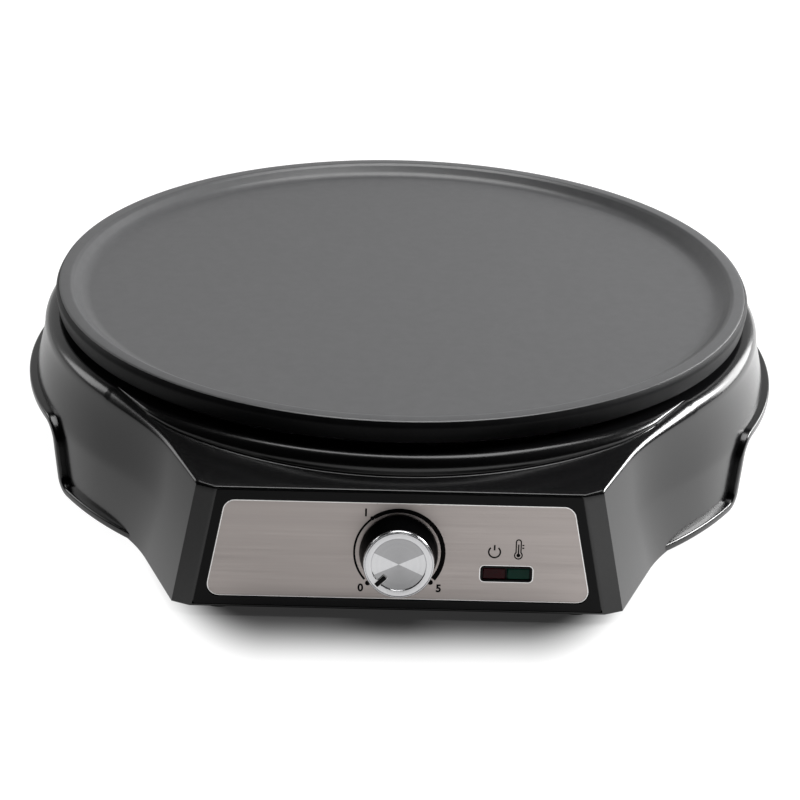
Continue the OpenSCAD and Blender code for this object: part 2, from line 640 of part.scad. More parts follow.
module at_pointer(grow) rotate([0, 0, pointer_turn])
    translate([pointer_end - pointer_l - grow, -pointer_w / 2 - grow, cap_face - pointer_h - 0.05 - grow / 2])
        children();
module pointer_slot(grow) at_pointer(grow) cube([pointer_l + 2 * grow, pointer_w + 2 * grow, cap_edge_h]);
module knob_pointer() color([0.02, 0.02, 0.02]) at_dial() at_pointer(0)
    cube([pointer_l, pointer_w, pointer_h]);
spindle_flat = 1.2;
clip_l = 5;
module knob_spring_clip() color("silver") at_dial()
    translate([-clip_l / 2, -spindle_d / 2 + spindle_flat - fit_gap - 1, knob_z0 + hollow_h + 0.4])
        cube([clip_l, 0.5, clip_l - 1]);

/* ---- thermostat ---- */
spindle_front = cap_face - 4;
spindle_back = -frame_w0 - 8;
tip_d = spindle_d - 2;
module thermostat_spindle() color("silver") at_dial() {
    difference() {
        translate([0, 0, -frame_w0 - 1]) cylinder(d = spindle_d, h = spindle_front + frame_w0 + 1, $fn = 48);
        translate([-5, -spindle_d / 2 - 5 + spindle_flat, hollow_h]) cube([10, 5, 20]);
    }
    translate([0, 0, spindle_back]) cylinder(d = tip_d, h = -spindle_back - frame_w0, $fn = 40);
}
bush_flange_z = -bezel_t;
module spindle_bush() color([0.78, 0.70, 0.45]) at_dial() difference() {
    union() {
        translate([0, 0, bush_flange_z - 2]) cylinder(d = bush_d + 8, h = 2);
        translate([0, 0, -frame_w0]) cylinder(d = bush_d, h = frame_w0 + knob_z0 + washer_t + nut_h);
    }
    translate([0, 0, -frame_w0 - 1]) cylinder(d = spindle_d + 2 * run_gap, h = frame_w0 + 12, $fn = 48);
}
module bush_washer() color("silver") at_dial() translate([0, 0, -fascia_drop]) difference() {
    cylinder(d = nut_af + 1.5, h = washer_t);
    translate([0, 0, -eps]) cylinder(d = bush_d + 2 * fit_gap, h = washer_t + 2 * eps);
}
module bush_nut() color("silver") at_dial() translate([0, 0, -fascia_drop + washer_t]) difference() {
    cylinder(d = nut_af / cos(30), h = nut_h, $fn = 6);
    translate([0, 0, -eps]) cylinder(d = bush_d + 2 * run_gap, h = nut_h + 2 * eps);
}
frame_t = 1.5;
frame_h = 16;
frame_left = stack_x + 9;
frame_right = 18;
module thermostat_frame() color([0.70, 0.70, 0.70]) at_dial()
    translate([0, 0, -frame_w0 - frame_t]) difference() {
    translate([-frame_left, -frame_h / 2, 0]) cube([frame_left + frame_right, frame_h, frame_t]);
    translate([0, 0, -1]) cylinder(d = spindle_d + 2 * run_gap + 0.4, h = frame_t + 2, $fn = 48);
}
arm_z = -frame_w0 - frame_t - 14;
arm_t = 0.5;
arm_w = 6;
sleeve_d = tip_d + 3.4;
pin_nose_d = 3;
sleeve_z1 = -frame_w0 - frame_t - fit_gap;
sleeve_z0 = spindle_back - 1.5;
// The arm hinges beside the stack, and the pin pushes it away from the frame
arm_pivot_x = stack_x - stack_d / 2 - 0.6;
arm_turn = atan(pin_travel / arm_pivot_x);
module push_pin() color("ivory") at_dial() difference() {
    union() {
        translate([0, 0, sleeve_z0]) cylinder(d = sleeve_d, h = sleeve_z1 - sleeve_z0, $fn = 48);
        translate([0, 0, arm_z + fit_gap]) cylinder(d = pin_nose_d, h = sleeve_z0 - arm_z, $fn = 40);
    }
    translate([0, 0, spindle_back - fit_gap]) cylinder(d = tip_d + 2 * run_gap, h = 20, $fn = 40);
}
contact_d = 4;
module contact_arm() color([0.80, 0.60, 0.38]) at_dial() {
    translate([-arm_pivot_x, -arm_w / 2, arm_z - arm_t]) cube([arm_pivot_x + 11, arm_w, arm_t]);
    translate([9, 0, arm_z - arm_t - 0.8]) cylinder(d = contact_d, h = 0.8 + eps, $fn = 40);
    translate([-arm_pivot_x, 0, arm_z - arm_t / 2]) rotate([90, 0, 0])
        cylinder(d = 2 * arm_t, h = arm_w, center = true, $fn = 40);
}
fixed_z = arm_z - arm_t - 0.8 - contact_gap;
module fixed_contact() color([0.80, 0.60, 0.38]) at_dial() {
    translate([9, 0, fixed_z - 0.8]) cylinder(d = contact_d, h = 0.8, $fn = 40);
    translate([-stack_x, -arm_w / 2, fixed_z - 0.8 - 0.8]) cube([stack_x + 12, arm_w, 0.8 + eps]);
}
stack_end = fixed_z - 8;
bimetal_z = fixed_z - 4.4;
bimetal_w = 8;
bimetal_t = 0.9;
bimetal_left = stack_x + stack_d / 2;
bimetal_right = 16;
module bimetal_strip() color([0.55, 0.52, 0.48]) at_dial()
    translate([-bimetal_left, -bimetal_w / 2, bimetal_z - bimetal_t])
        cube([bimetal_left + bimetal_right, bimetal_w, bimetal_t]);
module ceramic_stack() color([0.92, 0.90, 0.84]) at_dial() difference() {
    translate([-stack_x, 0, stack_end]) cylinder(d = stack_d, h = -frame_w0 - frame_t - stack_end);
    for (z = [fixed_z - 1.7, bimetal_z - 1]) translate([-stack_x - stack_d, -bimetal_w / 2 - 0.1, z])
        cube([2 * stack_d, bimetal_w + 0.2, bimetal_t + 0.2]);
    for (z = [tab_low_z, tab_high_z]) translate([-stack_x - stack_d, -tab_w / 2 - 0.05, z - 0.1])
        cube([stack_d / 2 + 0.8, tab_w + 0.1, tab_t + 0.2]);
}
tab_end_x = -stack_x - 16;
tab_low_z = arm_z - 0.5;
tab_high_z = arm_z + 6.1;
module thermostat_terminals() color("silver") at_dial() {
    for (z = [tab_low_z, tab_high_z]) translate([tab_end_x, -tab_w / 2, z]) cube([11.6, tab_w, tab_t]);
}

/* ---- lamps ---- */
lens_split = 0.5;
lens_depth = 3.4;
lens_face = -fascia_drop - 0.3;
lens_w = (lamp_w - 2 * 0.9 - lens_split) / 2;
lens_h = lamp_h - 1.8;
lens_step = (lens_w + lens_split) / 2;
module lamp_holder() color([0.06, 0.06, 0.06]) at_panel() difference() {
    union() {
        translate([0, 0, -bezel_t - 9]) linear_extrude(9 + bezel_t - fascia_drop + 0.3) lamp_shape(0);
        translate([0, 0, -bezel_t - 2]) linear_extrude(2) lamp_shape(1.4);
    }
    for (s = [-1, 1]) translate([lamp_x + s * lens_step, lamp_v, -bezel_t - 10])
        linear_extrude(past) square([lens_w + 0.2, lens_h + 0.2], center = true);
}
module lens(s) at_panel() translate([lamp_x + s * lens_step, lamp_v, lens_face - lens_depth])
    linear_extrude(lens_depth) square([lens_w, lens_h], center = true);
module red_lens() color([0.30, 0.03, 0.05]) lens(-1);
module green_lens() color([0.02, 0.22, 0.13]) lens(1);
module at_lamps(z) at_panel()
    for (s = [-1, 1]) translate([lamp_x + s * lens_step, lamp_v, z]) children();
neon_l = 11;
resistor_l = 8;
neon_z = lens_face - lens_depth - fit_gap - neon_l;
module neon_lamps() color([0.85, 0.80, 0.75]) at_lamps(neon_z) {
    cylinder(d = lens_h - 0.4, h = neon_l - 2, $fn = 40);
    translate([0, 0, neon_l - 2 - eps]) cylinder(d1 = lens_h - 0.4, d2 = 2, h = 2, $fn = 40);
}
module lamp_resistors() color([0.75, 0.65, 0.45]) at_lamps(neon_z - resistor_l) {
    cylinder(d = 2.6, h = 7, $fn = 32);
    translate([0, 0, 7 - eps]) cylinder(d = 0.8, h = 1, $fn = 16);
}

/* ---- mains inlet and wiring ---- */
block_at = [0, inlet_y - 34.5];
block_size = [34, 18, 14];
block_seat_h = 1;
block_z = floor_z + block_seat_h;
pole_step = 10.5;
pole_y = 5;
pole_z = 6;
module at_poles(z) for (i = [-1:1], s = [-1, 1]) translate([i * pole_step, s * pole_y, z]) children();
module terminal_base() translate([block_at[0], block_at[1], floor_z - eps]) linear_extrude(block_seat_h + eps)
    square([block_size[0] + 4, block_size[1] + 4], center = true);
module terminal_block() color("ivory") translate([block_at[0], block_at[1], block_z]) difference() {
    translate([-block_size[0] / 2, -block_size[1] / 2, 0]) cube(block_size);
    for (i = [-1:1]) translate([i * pole_step, 0, pole_z]) rotate([90, 0, 0])
        cylinder(d = 4.4, h = 2 * block_size[1], center = true, $fn = 32);
    at_poles(pole_z) cylinder(d = 4, h = block_size[2], $fn = 32);
}
module terminal_screws() color("silver") translate([block_at[0], block_at[1], block_z])
    at_poles(pole_z + 2.3) cylinder(d = 3.8, h = 4, $fn = 32);
gland_out_y = inlet_face_y + 2.5;
gland_flange_d = gland_d + 6;
module cord_gland() color([0.05, 0.05, 0.05]) translate([0, 0, inlet_z]) rotate([-90, 0, 0]) difference() {
    union() {
        translate([0, 0, inlet_face_y]) cylinder(d1 = gland_flange_d, d2 = gland_flange_d - 1.6, h = 2.5);
        translate([0, 0, inlet_y - 7]) cylinder(d = gland_d, h = inlet_face_y - inlet_y + 7 + eps);
    }
    translate([0, 0, inlet_y - 10]) cylinder(d = cord_d + 2 * cord_gap, h = 40);
}
module gland_nut() color([0.05, 0.05, 0.05])
    translate([0, inlet_y - 4, inlet_z]) rotate([-90, 0, 0]) difference() {
    cylinder(d = gland_d + 8, h = 4, $fn = 6);
    translate([0, 0, -1]) cylinder(d = gland_d + 2 * run_gap, h = 6);
}
earth_at = [50, -40];
earth_z = shield_floor_z - shield_t - tab_t;
module earth_tag() color("silver") translate([earth_at[0], earth_at[1], earth_z]) difference() {
    union() {
        cylinder(d = 9, h = tab_t);
        translate([-2 * tab_l, -tab_w / 2, 0]) cube([2 * tab_l, tab_w, tab_t]);
    }
    translate([0, 0, -1]) cylinder(d = screw_d + 2 * fit_gap, h = 3, $fn = 32);
}
module earth_screw() color("silver") translate([earth_at[0], earth_at[1], earth_z])
    pan_screw(screw_d, tab_t + shield_t + 1, head_d, head_h);

// A round wire along a list of points
wire_d = 2.4;
function unit(v) = v / max(norm(v), 1e-9);
function bend(p, n) = [for (i = [0:len(p) - 2], k = [0:n - 1]) let (
    a = p[max(i - 1, 0)], b = p[i], c = p[i + 1], d = p[min(i + 2, len(p) - 1)], t = k / n)
    0.5 * ((2 * b) + (c - a) * t + (2 * a - 5 * b + 4 * c - d) * t * t + (3 * b - a - 3 * c + d) * t * t * t),
    p[len(p) - 1]];
function tangent(p, i) = unit(p[min(i + 1, len(p) - 1)] - p[max(i - 1, 0)]);
module wire(route, d = wire_d, sides = 8, steps = 3) {
    p = bend(route, steps);
    n = len(p);
    rings = [for (i = [0:n - 1]) let (
        t = tangent(p, i), ref = abs(t[2]) > 0.9 ? [1, 0.3, 0] : [0.2, 0.1, 1],
        u = unit(cross(t, ref)), v = cross(t, u))
        for (k = [0:sides - 1]) p[i] + d / 2 * (cos(360 * k / sides) * u + sin(360 * k / sides) * v)];
    polyhedron(rings, concat(
        [[for (k = [0:sides - 1]) sides - 1 - k]],
        [for (i = [0:n - 2], k = [0:sides - 1]) let (a = i * sides + k, b = i * sides + (k + 1) % sides)
            [a, b, b + sides, a + sides]],
        [[for (k = [0:sides - 1]) (n - 1) * sides + k]]));
}
// The wires run from the terminal block, over the base, to the tabs that they end on
function at_pole(i, back) = [block_at[0] + i * pole_step, block_at[1] - pole_y - back, block_z + pole_z];
thermostat_low_end = on_dial(tab_end_x - wire_d / 5, tab_low_z - tab_t);
thermostat_high_end = on_dial(tab_end_x - wire_d / 5, tab_high_z);
lamp_end = on_panel(lamp_x - lens_step, lamp_v, neon_z - resistor_l - fit_gap);
element_end = [element_loop_r * sin(element_gap_deg / 2), -element_loop_r * cos(element_gap_deg / 2),
               element_leg_z - stud_l - tab_l + 0.1];
wire_z = floor_z + 3.5;
loom_z = floor_z + 9.5;
drop_z = element_end[2] - 12.5;
// A point that the wires pass: its share of the plate's radius, its turn and its height
function way(share, turn, z) = [share * plate_r * cos(turn), share * plate_r * sin(turn), z];
supply_routes = [
    [at_pole(-1, 0), at_pole(-1, tab_l), way(0.668, 98.7, wire_z + 3.3), way(0.539, 135, wire_z + 1),
     way(0.462, 196, wire_z), way(0.761, 236.6, wire_z), way(0.922, 247.3, loom_z + 1),
     thermostat_low_end - [tab_l, 0, 0.7], thermostat_low_end],
    [at_pole(0, 0), at_pole(0, tab_l), way(0.648, 87.8, wire_z + 3.4), way(0.37, 59, wire_z + 1),
     way(0.359, 315, wire_z), way(0.748, 291, wire_z + 1), lamp_end + [0.3, tab_l, -1.2], lamp_end]];
heater_routes = [
    [at_pole(1, 0), at_pole(1, tab_l), way(0.655, 81, loom_z - 2), way(0.415, 27.4, loom_z + 2),
     way(0.437, 324.5, drop_z), way(0.562, 295.4, drop_z), element_end + [2.5, 0.6, -tab_l], element_end],
    [thermostat_high_end, thermostat_high_end + [-tab_l - 1.5, 1.6, -0.7], way(0.936, 249.4, loom_z),
     way(0.755, 250.3, loom_z), [-element_end[0] - 2.5, element_end[1] - 0.4, element_end[2] - tab_l],
     [-element_end[0], element_end[1], element_end[2]]]];
module supply_wires() color([0.15, 0.25, 0.55]) for (r = supply_routes) wire(r);
module heater_wires() color([0.80, 0.80, 0.76]) for (r = heater_routes) wire(r);

place() griddle_plate();
place() heating_element();
place() element_terminals();
place() element_insulators();
place() element_clips();
place() clip_screws();
place() heat_shield();
place() plate_spacers();
place() plate_screws();
place() thermal_fuse();
place() upper_housing();
place() base_pan();
place() base_screws();
place() rubber_feet();
place() foot_screws();
place() front_bezel();
place() fascia_plate();
place() bezel_screws();
place() knob_body();
place() knob_cap();
place() knob_pointer();
place() knob_spring_clip();
place() thermostat_spindle();
place() spindle_bush();
place() bush_washer();
place() bush_nut();
place() thermostat_frame();
place() push_pin();
place() ceramic_stack();
place() contact_arm();
place() fixed_contact();
place() bimetal_strip();
place() thermostat_terminals();
place() lamp_holder();
place() red_lens();
place() green_lens();
place() neon_lamps();
place() lamp_resistors();
place() terminal_block();
place() terminal_screws();
place() cord_gland();
place() gland_nut();
place() earth_tag();
place() earth_screw();
place() supply_wires();
place() heater_wires();
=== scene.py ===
"""Looks of the electric crepe maker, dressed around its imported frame.

The frame gives every node's place. This script replaces the large visible
forms with smooth, softened meshes, gives every node a finish, and adds the
printed marks on the fascia, the camera, the floor and the lamps.

Lengths in the classes are millimetres. Meshes are drawn round the plate's
axis, or on the sloping panel, and a matrix takes them to the row frame.
"""

from __future__ import annotations

import json
import logging
import math
from dataclasses import dataclass
from enum import Enum
from typing import Iterable, Sequence

import bmesh
import bpy
from mathutils import Matrix, Vector


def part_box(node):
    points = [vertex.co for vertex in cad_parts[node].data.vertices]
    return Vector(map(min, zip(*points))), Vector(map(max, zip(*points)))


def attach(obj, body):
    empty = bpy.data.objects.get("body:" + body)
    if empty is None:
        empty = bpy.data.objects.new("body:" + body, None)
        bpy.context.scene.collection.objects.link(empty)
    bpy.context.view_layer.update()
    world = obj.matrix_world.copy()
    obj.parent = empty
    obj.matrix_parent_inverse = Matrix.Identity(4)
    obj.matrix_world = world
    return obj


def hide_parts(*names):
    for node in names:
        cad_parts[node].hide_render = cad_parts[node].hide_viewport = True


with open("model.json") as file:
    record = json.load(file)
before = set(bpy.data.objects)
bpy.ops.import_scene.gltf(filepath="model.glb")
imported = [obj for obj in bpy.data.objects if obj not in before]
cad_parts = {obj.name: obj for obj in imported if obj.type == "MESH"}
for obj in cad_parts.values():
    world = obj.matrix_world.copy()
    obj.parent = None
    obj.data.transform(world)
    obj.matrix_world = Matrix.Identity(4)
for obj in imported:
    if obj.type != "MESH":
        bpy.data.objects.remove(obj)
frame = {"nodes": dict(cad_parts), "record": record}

LOG = logging.getLogger("crepe_maker")
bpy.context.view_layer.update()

Point2 = tuple[float, float]
Point3 = tuple[float, float, float]
Colour = tuple[float, float, float]
BMesh = bmesh.types.BMesh
Socket = bpy.types.NodeSocket

MM = 0.001
SHARP_ANGLE = math.radians(32)
LEVEL_NORMAL = 0.999
MERGE_GAP = 1e-4
AXIS_GAP = 1e-3
ARC_PULL = 0.5523
DECK_ROUNDS = 6

WHITE = (1, 1, 1, 1)
BLACK = (0, 0, 0, 1)
NOISE_RANGE = (0.3, 0.7)
NOISE_ROUGHNESS = 0.55
BROADER = 12
BRUSH_STRETCH = (0.35, 40.0, 40.0)
SECTOR_SLOPE = math.tan(math.radians(25))
SECTOR_EDGE = 0.06
DISH_EDGE = 0.05
SPUN_MAP = "Turned"


def plate_axis_y() -> float:
    """Returns how far the plate's axis stands behind the origin, in mm."""
    low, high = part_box("griddle_plate")
    return (low.y + high.y) / 2 / MM


AXIS_Y = plate_axis_y()
FOOT_H = 4.0
PANEL_Y = 180.6
PANEL_H = 50.2
PANEL_TILT = math.radians(9)
DIAL_AXIS = (0.0, 24.2)
DISH_R = 10.64
INLET_Y = 167.5
INLET_Z = 20.0

AROUND_PLATE = Matrix.Scale(MM, 4) @ Matrix.Translation((0, AXIS_Y, 0))
ON_PANEL = (
    AROUND_PLATE
    @ Matrix.Translation((0, -PANEL_Y, FOOT_H))
    @ Matrix.Rotation(math.pi / 2 - PANEL_TILT, 4, "X")
)
ON_DIAL = ON_PANEL @ Matrix.Translation((*DIAL_AXIS, 0))


# ---- small geometry helpers ----


def mix(a: float, b: float, t: float) -> float:
    """Returns the value that lies t of the way from a to b."""
    return a + (b - a) * t


def clamped(t: float) -> float:
    """Returns t kept between 0 and 1."""
    return min(max(t, 0.0), 1.0)


def ease(t: float) -> float:
    """Returns a smooth step of t, which lies between 0 and 1."""
    return t * t * (3 - 2 * t)


def soft_max(a: float, b: float, reach: float) -> float:
    """Returns the larger of two values, rounded over where they are close.

    Args:
        a: First value.
        b: Second value.
        reach: Difference below which the two blend.

    Returns:
        The larger value, raised a little inside the blend.
    """
    h = max(reach - abs(a - b), 0.0) / reach
    return max(a, b) + h * h * reach / 4


def spread(start: float, stop: float, count: int) -> list[float]:
    """Returns count evenly spaced values from start to stop, both included."""
    return [mix(start, stop, i / (count - 1)) for i in range(count)]


def quarter_bend(start: Sequence[float], corner: Sequence[float], end: Sequence[float],
                 steps: int) -> list[tuple[float, ...]]:
    """Rounds a corner with a curve close to a quarter circle.

    Args:
        start: Where the bend begins.
        corner: The sharp corner that it rounds.
        end: Where the bend ends.
        steps: Number of points after start.

    Returns:
        The points after start, up to and with end.
    """
    points = []
    for i in range(1, steps + 1):
        t = i / steps
        weights = ((1 - t) ** 3, 3 * (1 - t) ** 2 * t, 3 * (1 - t) * t * t, t ** 3)
        points.append(tuple(
            weights[0] * a
            + weights[1] * (a + (c - a) * ARC_PULL)
            + weights[2] * (b + (c - b) * ARC_PULL)
            + weights[3] * b
            for a, c, b in zip(start, corner, end)))
    return points


def softened(points: Sequence[tuple[float, float, float]], closed: bool = False,
             steps: int = 4) -> list[Point2]:
    """Rounds the corners of a flat line.

    Args:
        points: Corners as (x, y, radius), where radius 0 keeps the corner sharp.
        closed: Whether the last corner joins the first.
        steps: Number of points on each bend.

    Returns:
        The rounded line.
    """
    out: list[Point2] = []
    count = len(points)
    for i, (x, y, radius) in enumerate(points):
        ends = not closed and i in (0, count - 1)
        if radius <= 0 or ends:
            out.append((x, y))
            continue
        here = Vector((x, y))
        back = Vector(points[i - 1][:2]) - here
        ahead = Vector(points[(i + 1) % count][:2]) - here
        half = back.angle(ahead) / 2
        reach = min(radius / math.tan(half), back.length * 0.49, ahead.length * 0.49)
        start = here + back.normalized() * reach
        end = here + ahead.normalized() * reach
        out.append(tuple(start))
        out.extend(quarter_bend(start, here, end, steps))
    return out


def around(centre: Point2, radius: float, turn: float) -> Point2:
    """Returns the point at a turn on a circle."""
    return centre[0] + radius * math.cos(turn), centre[1] + radius * math.sin(turn)


def arc(centre: Point2, radius: float, turns: Iterable[float]) -> list[Point2]:
    """Returns the points at some turns on a circle."""
    return [around(centre, radius, turn) for turn in turns]


def circle(radius: float, centre: Point2, count: int = 64) -> list[Point2]:
    """Returns the points of a circle."""
    return arc(centre, radius, (math.tau * i / count for i in range(count)))


def box_outline(left: float, bottom: float, right: float, top: float) -> list[Point2]:
    """Returns the corners of an upright rectangle."""
    return [(left, bottom), (right, bottom), (right, top), (left, top)]


# ---- finishes ----


class Surface(Enum):
    """How a finish is worked, which its fine pattern follows."""

    PLAIN = "plain"
    BRUSHED = "brushed"
    SPUN = "spun"


@dataclass(frozen=True)
class Finish:
    """A material with its colour, gloss and the fine detail of its surface.

    The mottle is the share by which the colour strays, the grain is counted in
    features for each metre, and the grain's depth is in millimetres.
    """

    name: str
    colour: Colour
    surface: Surface = Surface.PLAIN
    roughness: float = 0.4
    metallic: float = 0.0
    specular: float = 0.5
    mottle: float = 0.08
    grain: float = 900.0
    grain_depth: float = 0.02
    gloss_spread: float = 0.06
    anisotropy: float = 0.0
    clear: float = 0.0
    # share by which the dial's upright sectors are darkened: a painted reflection of spun metal
    painted_bowtie_shade: float = 0.0

    @property
    def label(self) -> str:
        """Returns the material's name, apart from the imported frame's plain ones."""
        return f"{self.name}_finish"

    def material(self) -> bpy.types.Material:
        """Returns the finish's material, made once."""
        return bpy.data.materials.get(self.label) or FinishNodes(self).build()


class NodeBench:
    """Adds nodes to a shader tree and joins them."""

    def __init__(self, tree: bpy.types.NodeTree) -> None:
        """Takes the tree that the nodes go into."""
        self.tree = tree

    def feed(self, socket: Socket, value: object) -> None:
        """Gives a socket a plain value, or joins another socket to it.

        Args:
            socket: The input that is fed.
            value: A plain value or an output socket.
        """
        if isinstance(value, Socket):
            self.tree.links.new(value, socket)
        else:
            socket.default_value = value

    def fill(self, node: bpy.types.Node, inputs: dict[str, object]) -> None:
        """Feeds a node's inputs by name."""
        for name, value in inputs.items():
            self.feed(node.inputs[name], value)

    def add(self, kind: str, **inputs: object) -> bpy.types.Node:
        """Adds a node.

        Args:
            kind: Blender's name for the kind of node.
            inputs: What its inputs are fed, with spaces written as underscores.

        Returns:
            The node.
        """
        node = self.tree.nodes.new(kind)
        self.fill(node, {key.replace("_", " "): value for key, value in inputs.items()})
        return node

    def coordinates(self, kind: str) -> Socket:
        """Returns one of the texture coordinates."""
        return self.add("ShaderNodeTexCoord").outputs[kind]

    def math(self, operation: str, *values: Socket | float) -> Socket:
        """Works out a sum on sockets and plain numbers.

        Args:
            operation: Blender's name for the sum.
            values: What it is worked out on.

        Returns:
            The result.
        """
        node = self.add("ShaderNodeMath")
        node.operation = operation
        for socket, value in zip(node.inputs, values):
            self.feed(socket, value)
        return node.outputs[0]

    def ramp(self, value: Socket, start: float, stop: float, low: float = 0.0,
             high: float = 1.0, kind: str = "SMOOTHSTEP") -> Socket:
        """Maps a value between start and stop onto low to high.

        Args:
            value: What is mapped.
            start: Value that gives low.
            stop: Value that gives high.
            low: Result at start.
            high: Result at stop.
            kind: Blender's name for the form of the step.

        Returns:
            The mapped value.
        """
        node = self.add("ShaderNodeMapRange", Value=value, From_Min=start, From_Max=stop,
                        To_Min=low, To_Max=high)
        node.interpolation_type = kind
        return node.outputs["Result"]

    def blend(self, share: Socket, start: object, end: object) -> Socket:
        """Mixes two colours.

        Args:
            share: How far the result lies from start to end.
            start: A socket or a plain colour.
            end: A socket or a plain colour.

        Returns:
            The mixed colour.
        """
        node = self.add("ShaderNodeMix")
        node.data_type = "RGBA"
        self.fill(node, {"Factor": share, "A": start, "B": end})
        return node.outputs["Result"]

    def parts(self, vector: Socket) -> list[Socket]:
        """Returns a vector's three parts."""
        return list(self.add("ShaderNodeSeparateXYZ", Vector=vector).outputs)

    def length(self, x: Socket, y: Socket) -> Socket:
        """Returns the length of a flat vector."""
        squares = self.math("ADD", self.math("MULTIPLY", x, x), self.math("MULTIPLY", y, y))
        return self.math("SQRT", squares)


class FinishNodes(NodeBench):
    """Lays out the shader nodes of one finish."""

    def __init__(self, finish: Finish) -> None:
        """Starts an empty material for the finish.

        Args:
            finish: What to build.
        """
        self.finish = finish
        self.made = bpy.data.materials.new(finish.label)
        self.made.use_nodes = True
        super().__init__(self.made.node_tree)

    def noise(self, where: Socket, scale: float, detail: float) -> Socket:
        """Returns noise at a place, with features about 1 / scale metres across."""
        return self.add("ShaderNodeTexNoise", Vector=where, Scale=scale, Detail=detail,
                        Roughness=NOISE_ROUGHNESS).outputs["Fac"]

    def spread_over(self, noise: Socket, low: float, high: float) -> Socket:
        """Maps the usual range of noise onto low to high."""
        return self.ramp(noise, *NOISE_RANGE, low, high, "LINEAR")

    def place(self) -> Socket:
        """Returns the coordinates that the finish's pattern follows."""
        source = self.coordinates("Object")
        if self.finish.surface is Surface.SPUN:
            rings = self.length(*self.on_the_dial(source))
            return self.add("ShaderNodeCombineXYZ", X=rings).outputs["Vector"]
        if self.finish.surface is Surface.PLAIN:
            return source
        level = self.add("ShaderNodeMapping", Vector=source,
                         Rotation=(PANEL_TILT - math.pi / 2, 0, 0))
        drawn_out = self.add("ShaderNodeMapping", Vector=level.outputs["Vector"],
                             Scale=BRUSH_STRETCH)
        return drawn_out.outputs["Vector"]

    def on_the_dial(self, source: Socket) -> list[Socket]:
        """Returns the place across and up the dial's face, in mm from its axis.

        Args:
            source: Object coordinates.

        Returns:
            The two distances.
        """
        undo = ON_DIAL.inverted()
        mapping = self.add("ShaderNodeMapping", Vector=source, Scale=(1 / MM,) * 3,
                           Location=undo.to_translation(), Rotation=undo.to_euler())
        return self.parts(mapping.outputs["Vector"])[:2]

    def sectors(self, colour: Socket) -> Socket:
        """Darkens the two upright sectors of the dial's disc: a painted reflection, the bow-tie
        that spun metal shows under light.

        Args:
            colour: The disc's colour.

        Returns:
            The colour with its painted reflection sectors.
        """
        x, y = self.on_the_dial(self.coordinates("Object"))
        slope = self.math("MULTIPLY", self.math("ABSOLUTE", x), SECTOR_SLOPE)
        above = self.math("SUBTRACT", self.math("ABSOLUTE", y), slope)
        upright = self.ramp(above, -SECTOR_EDGE, SECTOR_EDGE)
        inside = self.ramp(self.length(x, y), DISH_R + DISH_EDGE, DISH_R - DISH_EDGE)
        share = self.math("MULTIPLY", self.math("MULTIPLY", upright, inside),
                          self.finish.painted_bowtie_shade)
        return self.blend(share, colour, BLACK)

    def build(self) -> bpy.types.Material:
        """Wires the colour, gloss and relief, and returns the material."""
        finish = self.finish
        where = self.place()
        broad = self.noise(where, finish.grain / BROADER, 3.0)
        fine = self.noise(where, finish.grain, 2.0)
        dark, pale = [(*(min(part * (1 + stray), 1.0) for part in finish.colour), 1)
                      for stray in (-finish.mottle, finish.mottle)]
        colour = self.blend(self.spread_over(broad, 0, 1), dark, pale)
        half = finish.gloss_spread / 2
        relief = self.add("ShaderNodeBump", Height=fine, Strength=1.0,
                          Distance=finish.grain_depth * MM)
        looks = {
            # the disc's darkened sectors paint the bow-tie reflection of spun metal
            "Base Color": self.sectors(colour) if finish.painted_bowtie_shade else colour,
            "Roughness": self.spread_over(fine, finish.roughness - half, finish.roughness + half),
            "Normal": relief.outputs["Normal"],
            "Metallic": finish.metallic,
            "Specular IOR Level": finish.specular,
            "Transmission Weight": finish.clear,
            "Anisotropic": finish.anisotropy,
        }
        if finish.anisotropy:
            tangent = self.add("ShaderNodeTangent")
            tangent.direction_type, tangent.uv_map = "UV_MAP", SPUN_MAP
            looks["Tangent"] = tangent.outputs["Tangent"]
        self.fill(self.tree.nodes["Principled BSDF"], looks)
        return self.made


